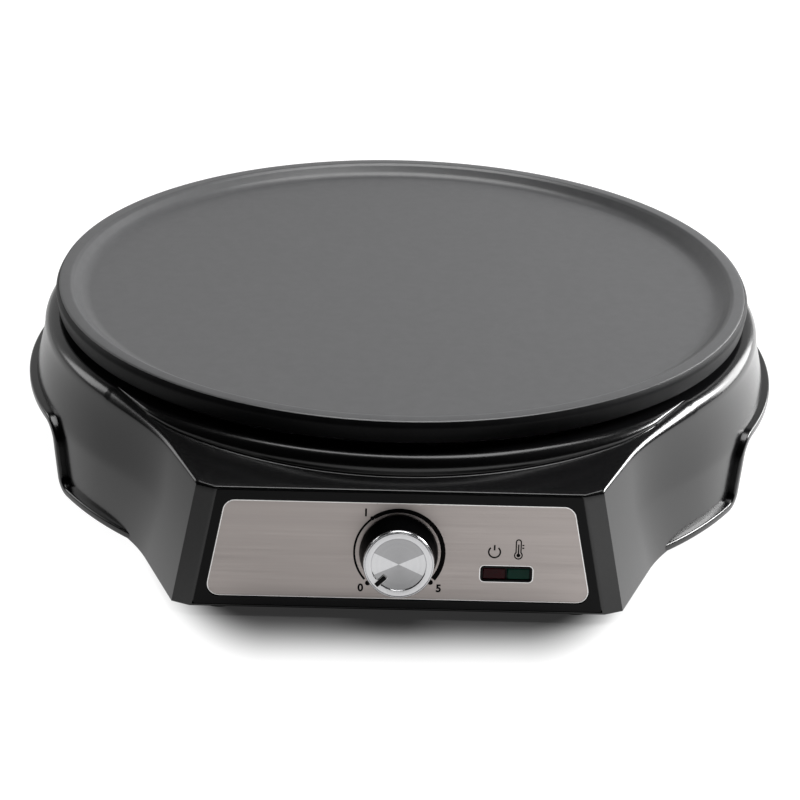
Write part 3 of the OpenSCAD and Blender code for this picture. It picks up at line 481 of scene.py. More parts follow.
FINISHES: dict[str, Finish] = {finish.name: finish for finish in (
    Finish("plate_coating", (0.077, 0.0775, 0.0794), roughness=0.32, mottle=0.06, grain=2600,
           grain_depth=0.012),
    # painted shade on the rim's outer band: a darker, less glossy copy of the plate's coating
    Finish("painted_shade_band_coating", (0.006, 0.006, 0.0065), roughness=0.42, specular=0.08, mottle=0.3,
           grain=1500, grain_depth=0.03),
    Finish("element_sheath", (0.30, 0.29, 0.27), roughness=0.45, metallic=1.0, mottle=0.25,
           grain=500),
    Finish("steel", (0.62, 0.62, 0.63), roughness=0.32, metallic=1.0, mottle=0.06, grain=1400,
           grain_depth=0.006),
    Finish("ceramic", (0.82, 0.80, 0.73), roughness=0.28, mottle=0.04, grain=700),
    Finish("aluminised_steel", (0.66, 0.67, 0.68), roughness=0.38, metallic=1.0, mottle=0.12,
           grain=260, grain_depth=0.01),
    Finish("housing_gloss", (0.0030, 0.0030, 0.0033), roughness=0.2, mottle=0.1, grain=700,
           grain_depth=0.0008, gloss_spread=0.04),
    Finish("base_black", (0.016, 0.016, 0.017), roughness=0.55, mottle=0.1, grain=1500,
           grain_depth=0.03),
    Finish("foot_rubber", (0.022, 0.022, 0.022), roughness=0.75, specular=0.3, mottle=0.15,
           grain=1800),
    Finish("bezel_satin", (0.0045, 0.0045, 0.005), roughness=0.3, specular=0.12, mottle=0.1,
           grain=2600, grain_depth=0.006),
    Finish("fascia_steel", (0.42, 0.380, 0.364), Surface.BRUSHED, roughness=0.42, metallic=1.0,
           mottle=0.05, grain=60, grain_depth=0.004, gloss_spread=0.1),
    Finish("print_black", (0.006, 0.0055, 0.0055), roughness=0.5, specular=0.05, grain=2000,
           grain_depth=0.002),
    Finish("knob_black", (0.0010, 0.0010, 0.0011), roughness=0.3, specular=0.02, grain=2200,
           grain_depth=0.004),
    # the spun cap's darkened upright sectors are a painted reflection
    Finish("knob_metal", (0.56, 0.56, 0.57), Surface.SPUN, roughness=0.24, metallic=1.0,
           mottle=0.04, grain=9, grain_depth=0.004, anisotropy=0.6, painted_bowtie_shade=0.42),
    # lighter metal for thin rims that paint the highlights on bevelled edges
    Finish("painted_highlight_edge", (0.80, 0.79, 0.78), roughness=0.3, metallic=1.0, mottle=0.03,
           grain=1200, grain_depth=0.002),
    Finish("pointer_black", (0.004, 0.004, 0.004), roughness=0.35, specular=0.08, grain=2200,
           grain_depth=0.003),
    Finish("brass", (0.72, 0.53, 0.25), roughness=0.3, metallic=1.0),
    Finish("contact_bronze", (0.62, 0.42, 0.26), roughness=0.35, metallic=1.0, grain=1200,
           grain_depth=0.006),
    Finish("bimetal", (0.42, 0.40, 0.36), roughness=0.36, metallic=1.0, mottle=0.15, grain=600),
    Finish("lens_red", (0.130, 0.006, 0.014), roughness=0.15, specular=0.03, mottle=0.2,
           grain=800, grain_depth=0.004, clear=0.15),
    Finish("lens_green", (0.004, 0.140, 0.088), roughness=0.15, specular=0.03, mottle=0.2,
           grain=800, grain_depth=0.004, clear=0.15),
    Finish("lamp_glass", (0.85, 0.82, 0.78), roughness=0.05, mottle=0.02, grain=300,
           grain_depth=0.002, clear=0.8),
    Finish("resistor_body", (0.66, 0.52, 0.32), roughness=0.45, grain=1500),
    Finish("gland_black", (0.012, 0.012, 0.012), roughness=0.42, grain=1600, grain_depth=0.012),
    Finish("wire_blue", (0.03, 0.07, 0.28), roughness=0.42),
    Finish("wire_sleeve", (0.62, 0.62, 0.57), roughness=0.8, mottle=0.3, grain=2600,
           grain_depth=0.08),
)}


# ---- making pieces ----


def show(name: str, data: bpy.types.ID) -> bpy.types.Object:
    """Returns a new object that stands in the scene.

    Args:
        name: Name of the object.
        data: What it shows.

    Returns:
        The object.
    """
    made = bpy.data.objects.new(name, data)
    bpy.context.scene.collection.objects.link(made)
    return made


def as_mesh(bm: BMesh, name: str) -> bpy.types.Mesh:
    """Returns a mesh under construction as a finished one, and frees it.

    Args:
        bm: The mesh under construction.
        name: Name of the finished mesh.

    Returns:
        The finished mesh.
    """
    mesh = bpy.data.meshes.new(name)
    bm.to_mesh(mesh)
    bm.free()
    return mesh


def as_piece(bm: BMesh, name: str, place: Matrix, slot: str, body: str = "appliance",
             replaces: Sequence[str] = (), finish: str | None = None,
             level: bool = False) -> bpy.types.Object:
    """Turns a mesh under construction into a finished piece.

    Args:
        bm: The mesh, in mm. It is freed.
        name: Name of the piece.
        place: Matrix from the mesh's own space to the row frame.
        slot: Material slot of the record.
        body: Body that the piece moves with.
        replaces: CAD nodes that the piece stands for.
        finish: Finish, where it isn't the slot's own.
        level: Whether the faces across the mesh's own Z are kept dead flat.

    Returns:
        The piece, at the origin with its place in its mesh.
    """
    bmesh.ops.remove_doubles(bm, verts=bm.verts, dist=MERGE_GAP)
    bmesh.ops.dissolve_degenerate(bm, edges=bm.edges, dist=MERGE_GAP)
    bmesh.ops.recalc_face_normals(bm, faces=bm.faces)
    for face in bm.faces:
        face.smooth = not (level and abs(face.normal.z) > LEVEL_NORMAL)
    for edge in bm.edges:
        edge.smooth = edge.calc_face_angle(0.0) < SHARP_ANGLE
    mesh = as_mesh(bm, name)
    mesh.transform(place)
    piece = show(name, mesh)
    mesh.materials.append(FINISHES[finish or slot].material())
    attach(piece, body)
    if replaces:
        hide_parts(*replaces)
    LOG.info("%s: %d faces", name, len(mesh.polygons))
    return piece


def turned(profile: Sequence[Point2], segments: int, closed: bool = False,
           centres: Sequence[Point2] = ((0.0, 0.0),)) -> BMesh:
    """Spins a line of (radius, height) points round upright axes.

    Args:
        profile: The line, which starts and ends on the axis unless it is closed.
        segments: Number of steps in a full turn.
        closed: Whether the line's end joins its start.
        centres: Where the axes stand, one for each copy.

    Returns:
        A mesh that holds every copy.
    """
    bm = bmesh.new()
    line = [*profile, profile[0]] if closed else profile
    for x, y in centres:
        verts = [bm.verts.new((x + radius, y, height)) for radius, height in line]
        edges = [bm.edges.new(pair) for pair in zip(verts, verts[1:])]
        bmesh.ops.spin(bm, geom=verts + edges, cent=(x, y, 0), axis=(0, 0, 1), angle=math.tau,
                       steps=segments, use_merge=True, use_duplicate=False)
    return bm


def in_order(edges: Iterable[bmesh.types.BMEdge],
             before: Sequence[bmesh.types.BMVert]) -> list[bmesh.types.BMVert]:
    """Puts the vertices of a grown ring in the order of the ring before it.

    Args:
        edges: The grown ring's edges.
        before: The vertices of the ring before it.

    Returns:
        The grown ring's vertices.
    """
    fresh = {vert for edge in edges for vert in edge.verts}
    return [next(edge.other_vert(vert) for edge in vert.link_edges
                 if edge.other_vert(vert) in fresh) for vert in before]


def grown(rings: Sequence[Sequence[Point3]], capped: bool = False
          ) -> tuple[BMesh, list[bmesh.types.BMVert], list[bmesh.types.BMEdge]]:
    """Grows a tube from ring to ring, starting from a circle.

    Args:
        rings: The points of each ring, all in the same order.
        capped: Whether the first ring is closed by a face.

    Returns:
        The mesh, the first ring's vertices and the last ring's edges.
    """
    bm = bmesh.new()
    ring = bmesh.ops.create_circle(bm, segments=len(rings[0]), radius=1, cap_ends=capped)["verts"]
    first, edges = ring, list(bm.edges)
    for i, points in enumerate(rings):
        if i:
            made = bmesh.ops.extrude_edge_only(bm, edges=edges)["geom"]
            edges = [part for part in made if isinstance(part, bmesh.types.BMEdge)]
            ring = in_order(edges, ring)
        for vert, point in zip(ring, points):
            vert.co = point
    return bm, first, edges


def sheet(bm: BMesh, outlines: Sequence[Sequence[Point2]], low: float, high: float,
          bevel: float = 0.0, segments: int = 2) -> None:
    """Adds a flat sheet cut to an outline, with holes.

    Args:
        bm: Mesh that takes the sheet.
        outlines: The outer outline and then the holes.
        low: Height of the sheet's back.
        high: Height of the sheet's face.
        bevel: Size of the bevel round the face's edges.
        segments: Number of steps across the bevel.
    """
    work = bmesh.new()
    for outline in outlines:
        verts = [work.verts.new((x, y, high)) for x, y in outline]
        for i, vert in enumerate(verts):
            work.edges.new((verts[i - 1], vert))
    bmesh.ops.triangle_fill(work, use_beauty=True, use_dissolve=False, edges=work.edges)
    bmesh.ops.recalc_face_normals(work, faces=work.faces)
    if sum(face.normal.z for face in work.faces) < 0:
        bmesh.ops.reverse_faces(work, faces=work.faces)
    rim = [edge for edge in work.edges if len(edge.link_faces) == 1]
    walls = bmesh.ops.extrude_edge_only(work, edges=rim)["geom"]
    for part in walls:
        if isinstance(part, bmesh.types.BMVert):
            part.co.z = low
    if bevel > 0:
        bmesh.ops.bevel(work, geom=rim, offset=bevel, offset_type="OFFSET", segments=segments,
                        profile=0.5, affect="EDGES", clamp_overlap=True, material=-1)
    open_edges = [edge for edge in work.edges if len(edge.link_faces) == 1]
    bmesh.ops.triangle_fill(work, use_beauty=True, use_dissolve=False, edges=open_edges)
    merge_into(bm, work)


def merge_into(bm: BMesh, work: BMesh) -> None:
    """Adds one mesh under construction to another and frees it.

    Args:
        bm: Mesh that grows.
        work: Mesh that is added and freed.
    """
    scratch = as_mesh(work, "scratch")
    bm.from_mesh(scratch)
    bpy.data.meshes.remove(scratch)


def settle(piece: bpy.types.Object) -> None:
    """Applies a piece's modifiers to its mesh.

    Args:
        piece: The piece, which keeps no modifiers.
    """
    graph = bpy.context.evaluated_depsgraph_get()
    done = bpy.data.meshes.new_from_object(piece.evaluated_get(graph),
                                           preserve_all_data_layers=True, depsgraph=graph)
    piece.modifiers.clear()
    piece.data = done


# ---- the griddle plate ----


@dataclass
class GriddlePlate:
    """The coated casting: cooking surface, raised rim and the rib under it."""

    radius: float = 157.5
    crest_z: float = 76.0
    surface_z: float = 70.5
    bottom_z: float = 66.5
    draft: float = 1.0
    bevel: float = 2.5
    crest_r: float = 155.0
    lip_inner_r: float = 151.0
    well_r: float = 145.0
    loop_r: float = 95.0
    groove_r: float = 3.8
    groove_deep: float = 3.6
    groove_half: float = 4.4
    rib_half: float = 7.0
    rib_draft: float = 0.6
    rib_drop: float = 3.5
    band_proud: float = 0.06
    segments: int = 360

    def groove(self) -> list[Point2]:
        """Returns the round channel that the heating element lies in."""
        centre = self.bottom_z - self.groove_deep
        start = math.acos((self.rib_drop - self.groove_deep) / self.groove_r)
        return [(self.loop_r + self.groove_r * math.sin(a), centre + self.groove_r * math.cos(a))
                for a in spread(start, -start, 17)]

    def casting(self) -> list[Point2]:
        """Returns the casting's half section, from the axis out and back."""
        rib_z, rib_r = self.bottom_z - self.rib_drop, self.rib_half
        upper = [
            (0, self.surface_z, 0), (self.well_r, self.surface_z, 9.0),
            (self.well_r + 4.4, self.crest_z - 1.0, 2.2), (self.lip_inner_r, self.crest_z, 1.8),
            (self.crest_r + 1.1, self.crest_z, 1.8),
            (self.radius, self.crest_z - self.bevel, 2.2),
            (self.radius - self.draft, self.bottom_z, 0.7),
            (self.loop_r + rib_r, self.bottom_z, 0.8),
            (self.loop_r + rib_r - self.rib_draft, rib_z, 0.6),
            (self.loop_r + self.groove_half, rib_z, 0),
        ]
        lower = [
            (self.loop_r - self.groove_half, rib_z, 0),
            (self.loop_r - rib_r + self.rib_draft, rib_z, 0.6),
            (self.loop_r - rib_r, self.bottom_z, 0.8), (0, self.bottom_z, 0),
        ]
        return softened(upper, steps=6) + self.groove() + softened(lower)

    def band(self) -> list[Point2]:
        """Returns the section of a shell over the rim's band, a little proud of it, which paints
        the band's shade.
        """
        proud, low = self.radius + self.band_proud, self.bottom_z + 0.1
        inner = self.radius - self.draft - 0.9
        return softened([
            (inner, self.crest_z - 0.7, 0), (self.crest_r + 1.25, self.crest_z - 0.25, 0.1),
            (proud, self.crest_z - self.bevel, 2.2), (proud - self.draft, low, 0.6),
            (inner, low, 0)])

    def build(self) -> None:
        """Makes the plate and the shell that paints the shade on its rim's band."""
        as_piece(turned(self.casting(), self.segments), "plate_casting", AROUND_PLATE,
                 "plate_coating", replaces=["griddle_plate"])
        as_piece(turned(self.band(), self.segments, True), "plate_band", AROUND_PLATE,
                 "plate_coating", finish="painted_shade_band_coating")


# ---- the black housing ----


class Zone(Enum):
    """The stretches of the housing's wall, from the middle of the front to the back."""

    PANEL = "panel"
    POCKET = "pocket"
    FRAME = "frame"
    CHAMFER = "chamfer"
    SIDE = "side"
    DRUM = "drum"


SUNK_ZONES = (Zone.PANEL, Zone.POCKET)
Column = tuple[Zone, float]


@dataclass
class Housing:
    """The moulded body: ring, shoulder, deck, control box sides and flared skirt.

    Its skin is one grid. Each column runs from the hole in the ledge over the
    ring and the deck, down the outside and up the inside, and every column has
    as many points, so that the rows join into rings.
    """

    hole_r: float = 128.0
    ring_in: float = 150.0
    ring_out: float = 157.0
    ring_z: float = 63.0
    ring_bend: float = 0.7
    ledge_z: float = 58.0
    ledge_bend: float = 0.5
    flange_z: float = 55.5
    flange_t: float = 4.5
    shoulder: float = 6.0
    cove: float = 0.9
    cove_share: float = 0.3
    wall: float = 2.5
    edge_bend: float = 0.35
    edge_h: float = 0.5
    inner_drop: float = 6.0
    inner_room: Point2 = (1.0, 2.0)
    box_thicker: float = 2.5
    skirt_r: float = 168.0
    flare_z: float = 32.0
    flare_ease: float = 0.55
    grip_half: float = 71.0
    ogee_r: float = 8.0
    ogee_steep: float = math.radians(78)
    lip_r: float = 171.0
    lip_t: float = 3.5
    lip_sunk: float = 1.2
    lip_deg: float = 40.2
    lip_lean_limit: float = 0.2
    panel_top: float = 72.9
    panel_bottom: float = 83.0
    chamfer: Point2 = (7.5, 3.2)
    chamfer_steps: tuple[float, ...] = (0.05, 0.3, 0.6, 0.9)
    side_steps: tuple[float, ...] = (0.0, 0.012, 0.03, 0.06, 0.1)
    back_top: float = 117.97
    back_bottom: float = 122.06
    back_y: float = 102.06
    blend: float = 10.0
    join_deg: float = 49.2
    fade_deg: float = 16.0
    fade_power: float = 1.6
    free_deg: float = 57.0
    pocket_edge: float = 0.8
    pocket_depth: float = 1.6
    pocket_share: float = 0.985
    corner_round: float = 1.2
    corner_power: float = 1.5
    inlet_block: float = 24.0
    inlet_r: float = 6.3
    inlet_depth: float = 30.0

    def __post_init__(self) -> None:
        """Works out the sizes that follow from the others."""
        self.deck_front_z = FOOT_H + PANEL_H * math.cos(PANEL_TILT)
        self.panel_top_y = PANEL_Y - PANEL_H * math.sin(PANEL_TILT)
        self.shoulder_r = self.ring_out + self.shoulder
        self.shoulder_z = self.ring_z - self.shoulder
        reach = self.ring_out * math.cos(math.radians(self.join_deg))
        self.deck_rise = (self.ring_z - self.deck_front_z) / (self.panel_top_y - reach)
        steep = self.ogee_steep
        line = (self.flare_z - FOOT_H - 2 * self.ogee_r * (1 - math.cos(steep))) / math.sin(steep)
        self.ogee_bend = self.ogee_r * math.sin(steep)
        self.ogee_foot = self.grip_half + 2 * self.ogee_bend + line * math.cos(steep)

    # -- the shapes that the skin follows --

    def deck_height(self, y: float) -> float:
        """Returns the height of the deck at y, and of the ring where the deck has ended."""
        return min(self.deck_front_z + (self.panel_top_y + y) * self.deck_rise, self.ring_z)

    def up_the_box(self, z: float) -> float:
        """Returns the share of the control box's height at z."""
        return (z - FOOT_H) / (self.deck_front_z - FOOT_H)

    def panel_corner(self, z: float) -> Point2:
        """Returns the edge between the panel and the chamfer beside it."""
        t = self.up_the_box(z)
        return mix(self.panel_bottom, self.panel_top, t), -mix(PANEL_Y, self.panel_top_y, t)

    def side_corner(self, z: float) -> Point2:
        """Returns the edge between the chamfer and the side of the box."""
        x, y = self.panel_corner(z)
        return x + self.chamfer[0], y + self.chamfer[1]

    def drum_radius(self, z: float) -> float:
        """Returns the radius of the flared drum at z."""
        t = clamped((self.shoulder_z - z) / (self.shoulder_z - self.flare_z))
        return mix(self.shoulder_r, self.skirt_r, mix(t, ease(t), self.flare_ease))

    def side_radius(self, turn: float, z: float) -> float:
        """Returns the radius of the box's flat side at a turn from the front.

        Args:
            turn: The turn, in radians.
            z: The height.

        Returns:
            The radius.
        """
        x0, y0 = self.side_corner(z)
        x1 = mix(self.back_bottom, self.back_top, self.up_the_box(z))
        run, rise = x1 - x0, -self.back_y - y0
        return (x0 * rise - y0 * run) / (math.sin(turn) * rise + math.cos(turn) * run)

    def body_radius(self, turn: float, z: float) -> float:
        """Returns the radius of drum and box side together, blended where they meet.

        Args:
            turn: The turn from the front, in radians.
            z: The height.

        Returns:
            The radius.
        """
        drum = self.drum_radius(z)
        if math.degrees(turn) > self.free_deg + 1:
            return drum
        return soft_max(drum, self.side_radius(turn, z), self.blend)

    def edge_height(self, y: float) -> tuple[float, Point2]:
        """Follows the skirt's bottom edge, low at the feet and high over each hand grip.

        Args:
            y: Where along the appliance.

        Returns:
            The edge's height there, and its normal in y and z.
        """
        side, away = abs(y), math.copysign(1.0, y)
        if side >= self.ogee_foot:
            return FOOT_H, (0.0, 1.0)
        if side <= self.grip_half:
            return self.flare_z, (0.0, 1.0)
        lean = self.ogee_steep
        if side >= self.ogee_foot - self.ogee_bend:
            lean = math.asin((self.ogee_foot - side) / self.ogee_r)
            height = FOOT_H + self.ogee_r * (1 - math.cos(lean))
        elif side <= self.grip_half + self.ogee_bend:
            lean = math.asin((side - self.grip_half) / self.ogee_r)
            height = self.flare_z - self.ogee_r * (1 - math.cos(lean))
        else:
            top = self.flare_z - self.ogee_r * (1 - math.cos(lean))
            height = top - (side - self.grip_half - self.ogee_bend) * math.tan(lean)
        return height, (away * math.sin(lean), math.cos(lean))

    # -- where the columns of the skin stand --

    def turns(self) -> list[float]:
        """Returns the turns of the drum's columns, dense where the edge bends."""
        foot, bend, steep = self.ogee_foot, self.ogee_bend, self.ogee_steep
        bends = [foot - self.ogee_r * math.sin(a) for a in spread(0, steep, 13)]
        bends += spread(foot - bend, self.grip_half + bend, 6)[1:-1]
        bends += [self.grip_half + self.ogee_r * math.sin(a) for a in spread(steep, 0, 13)]
        ogee = [math.acos(side / self.skirt_r) for side in bends]
        free = math.radians(self.free_deg)
        first, last = ogee[0], ogee[-1]
        plain = spread(last, math.pi - last, 64)[1:-1]
        tail = spread(math.pi - first, math.pi, 72)[1:]
        return spread(free, first, 3)[:-1] + ogee + plain + [
            math.pi - a for a in reversed(ogee)] + tail

    def columns(self) -> list[Column]:
        """Returns the columns of one half as a zone and a place in it."""
        side = [*self.side_steps, *spread(self.side_steps[-1], 1.0, 52)[1:-1]]
        return [
            *((Zone.PANEL, t) for t in spread(0, 1, 11)[:-1]),
            (Zone.POCKET, self.pocket_edge), (Zone.FRAME, self.pocket_edge), (Zone.FRAME, 0.0),
            *((Zone.CHAMFER, t) for t in self.chamfer_steps),
            *((Zone.SIDE, t) for t in side),
            *((Zone.DRUM, t) for t in self.turns())]

    def wall_point(self, column: Column, z: float) -> Point2:
        """Returns where the outside of the wall stands in a column.

        Args:
            column: The column's zone and its place there.
            z: The height.

        Returns:
            The point in x and y.
        """
        zone, place = column
        corner = self.panel_corner(z)
        if zone is Zone.PANEL:
            return corner[0] * place * self.pocket_share, corner[1]
        if zone in (Zone.FRAME, Zone.POCKET):
            return corner[0] - place, corner[1]
        if zone is Zone.CHAMFER:
            far = self.side_corner(z)
            return mix(corner[0], far[0], place), mix(corner[1], far[1], place)
        turn = place
        if zone is Zone.SIDE:
            x, y = self.side_corner(z)
            turn = mix(math.atan2(x, -y), math.radians(self.free_deg), place)
            if place == 0:
                return x, y
        radius = self.body_radius(turn, z)
        return radius * math.sin(turn), -radius * math.cos(turn)

    # -- one column of the skin --

    def ring_rows(self, turn: float, rim_r: float) -> list[Point3]:
        """Returns the ledge, the ring and the deck of one column.

        Args:
            turn: Turn of the column from the front.
            rim_r: Radius where the deck ends and the outer bend begins.

        Returns:
            Points from the hole in the ledge to that radius.
        """
        def at(radius: float, z: float) -> Point3:
            """Returns the column's point at a radius and a height."""
            return radius * math.sin(turn), -radius * math.cos(turn), z

        def on_deck(radius: float) -> Point3:
            """Returns the column's point on the deck at a radius."""
            return at(radius, self.deck_height(-radius * math.cos(turn)))

        bend = self.ring_bend
        rows = [at(self.hole_r, self.flange_z), at(self.hole_r, self.ledge_z),
                at(self.ring_in - self.ledge_bend, self.ledge_z),
                at(self.ring_in, self.ledge_z + self.ledge_bend),
                at(self.ring_in, self.ring_z - bend)]
        rows += quarter_bend(rows[-1], at(self.ring_in, self.ring_z),
                             at(self.ring_in + bend, self.ring_z), 3)
        rows += [at(self.ring_out - inward, self.ring_z) for inward in (3, 0.5, 0)]
        share = clamped((self.join_deg - math.degrees(turn)) / self.fade_deg)
        share = 1 - (1 - share) ** self.fade_power
        rim_x = self.ring_out + self.shoulder * share
        deck = self.deck_height(-rim_x * math.cos(turn))
        drop = self.ring_z - deck
        cove = min(self.cove, drop * self.cove_share)
        rounding = min(self.shoulder, drop - cove)
        foot = min(rim_x + cove, rim_r)
        rim_x = min(rim_x, foot)
        rows += quarter_bend(rows[-1], at(rim_x, self.ring_z), at(rim_x, self.ring_z - rounding), 9)
        rows.append(at(rim_x, deck + cove))
        rows += quarter_bend(rows[-1], at(rim_x, deck), on_deck(foot), 4)
        return rows + [on_deck(mix(foot, rim_r, t)) for t in (0.25, 0.5, 0.75, 1.0)]

    def edge_round(self, column: Column, turn: float) -> float:
        """Returns the size of the bend between the deck and the wall.

        Args:
            column: The column's zone and its place there.
            turn: Turn of the column from the front.

        Returns:
            The bend's reach.
        """
        zone, place = column
        if zone in SUNK_ZONES or zone is Zone.FRAME:
            return self.pocket_edge
        if zone is Zone.CHAMFER:
            return mix(self.pocket_edge, self.corner_round, place)
        start = math.atan2(*[abs(c) for c in self.side_corner(self.deck_front_z)])
        share = clamped((turn - start) / (math.radians(self.join_deg) - start))
        return mix(self.corner_round, self.shoulder, share ** self.corner_power)

    def column_points(self, column: Column) -> list[Point3]:
        """Returns every point of one column, from the ledge out, down and back inside.

        Args:
            column: The column's zone and its place there.

        Returns:
            The points, as many for every column.
        """
        z = self.deck_front_z
        for _ in range(DECK_ROUNDS):
            corner = self.wall_point(column, z)
            z = self.deck_height(corner[1])
        turn = math.atan2(corner[0], -corner[1])
        if turn >= math.radians(self.join_deg):
            z = self.ring_z
            corner = self.wall_point(column, z)
        bend = self.edge_round(column, turn)
        rows = self.ring_rows(turn, math.hypot(*corner) - bend)
        below = self.wall_point(column, z - bend)
        rows += quarter_bend(rows[-1], (*corner, z), (*below, z - bend), 8)
        return rows + self.wall_rows(column, z - bend)

    def wall_rows(self, column: Column, top: float) -> list[Point3]:
        """Returns the outside of the wall, its bottom edge and its inside.

        Args:
            column: The column's zone and its place there.
            top: Height where the wall's top bend ends.

        Returns:
            Points down the outside and up the inside.
        """
        zone = column[0]
        if zone is Zone.DRUM:
            foot, _ = self.edge_height(self.wall_point(column, FOOT_H)[1])
            low = foot + self.edge_h
        else:
            foot = FOOT_H
            low = foot + self.pocket_edge * math.cos(PANEL_TILT)
        sunk = self.pocket_depth if zone in SUNK_ZONES else 0.0

        def out(z: float, depth: float) -> Point3:
            """Returns the column's point at a height, sunk in by a depth.

            Args:
                z: The height.
                depth: How far it lies inside the outer face.

            Returns:
                The point.
            """
            x, y = self.wall_point(column, z)
            if zone in SUNK_ZONES:
                return x, y + depth, z
            reach = math.hypot(x, y)
            return x * (1 - depth / reach), y * (1 - depth / reach), z

        edge = self.edge_bend
        rows = [out(z, sunk) for z in spread(top, low, 27)]
        rows += [out(low, 0.0), out(foot + edge, 0.0), out(foot + 0.1, 0.1), out(foot, edge),
                 out(foot, self.wall - edge), out(foot + edge, self.wall)]
        inner_top = self.flange_z - self.inner_drop
        deep = self.wall + sunk
        if zone not in (Zone.SIDE, Zone.DRUM):
            deep += self.box_thicker
        rows += [out(mix(foot + edge, inner_top, t), mix(self.wall, deep, min(3 * t, 1)))
                 for t in (0.3, 0.65, 1.0)]
        x, y = self.wall_point(column, inner_top)
        reach = math.hypot(x, y)
        near = min(reach - deep - self.inner_room[0],
                   self.shoulder_r - self.wall - self.inner_room[1])
        rows.append((x * near / reach, y * near / reach, self.flange_z - self.flange_t))
        return rows

    # -- the pieces --

    def skin(self) -> BMesh:
        """Returns the closed skin, grown ring by ring from the hole's edge."""
        half = self.columns()
        sides = [(c, 1.0) for c in half] + [(c, -1.0) for c in reversed(half[1:-1])]
        grid = [[(sign * x, y, z) for x, y, z in self.column_points(column)]
                for column, sign in sides]
        bm, first, edges = grown(list(zip(*grid)))
        start = [bm.edges.get((first[i - 1], first[i])) for i in range(len(first))]
        bmesh.ops.bridge_loops(bm, edges=edges + start)
        return bm

    def lip_profile(self) -> list[Point2]:
        """Returns the lip's section as radius and height over the edge."""
        inside = self.skirt_r - self.lip_sunk
        return softened([(inside, 0, 0), (self.lip_r, 0, 0.9), (self.lip_r, self.lip_t, 1.1),
                         (inside, self.lip_t, 0)], closed=True, steps=5)

    def lip(self) -> BMesh:
        """Returns the lip that runs round the skirt's bottom edge."""
        ends = spread(math.radians(self.lip_deg), math.radians(self.free_deg), 24)[:-1]
        turns = ends + self.turns()
        rings = []
        for turn, sign in [(a, 1.0) for a in turns] + [(a, -1.0) for a in reversed(turns[:-1])]:
            height, (lean, rise) = self.edge_height(-self.skirt_r * math.cos(turn))
            reach = self.skirt_r * max(math.sin(turn), self.lip_lean_limit)
            rings.append([(sign * radius * math.sin(turn + lean * up / reach),
                           -radius * math.cos(turn + lean * up / reach), height + rise * up)
                          for radius, up in self.lip_profile()])
        bm, _, edges = grown(rings, capped=True)
        bmesh.ops.holes_fill(bm, edges=edges, sides=0)
        return bm

    def inlet_cutter(self) -> bpy.types.Object:
        """Returns the block and pin that cut the flat and the bore of the cord inlet."""
        bm = bmesh.new()
        flat = Matrix.Translation((0, INLET_Y + self.inlet_block / 2, INLET_Z))
        bore = Matrix.Translation((0, INLET_Y - self.inlet_depth / 4, INLET_Z)) \
            @ Matrix.Rotation(math.pi / 2, 4, "X")
        bmesh.ops.create_cube(bm, size=self.inlet_block, matrix=flat)
        bmesh.ops.create_cone(bm, cap_ends=True, segments=64, radius1=self.inlet_r,
                              radius2=self.inlet_r, depth=self.inlet_depth, matrix=bore)
        mesh = as_mesh(bm, "inlet_cutter")
        mesh.transform(AROUND_PLATE)
        return show("inlet_cutter", mesh)

    def build(self) -> None:
        """Makes the body and its lip."""
        body = as_piece(self.skin(), "housing_shell", AROUND_PLATE, "housing_gloss",
                        replaces=["upper_housing"])
        cutter = self.inlet_cutter()
        cut = body.modifiers.new("inlet", "BOOLEAN")
        cut.operation, cut.object, cut.solver = "DIFFERENCE", cutter, "EXACT"
        settle(body)
        bpy.data.objects.remove(cutter)
        as_piece(self.lip(), "housing_lip", AROUND_PLATE, "housing_gloss")


# ---- the front panel ----


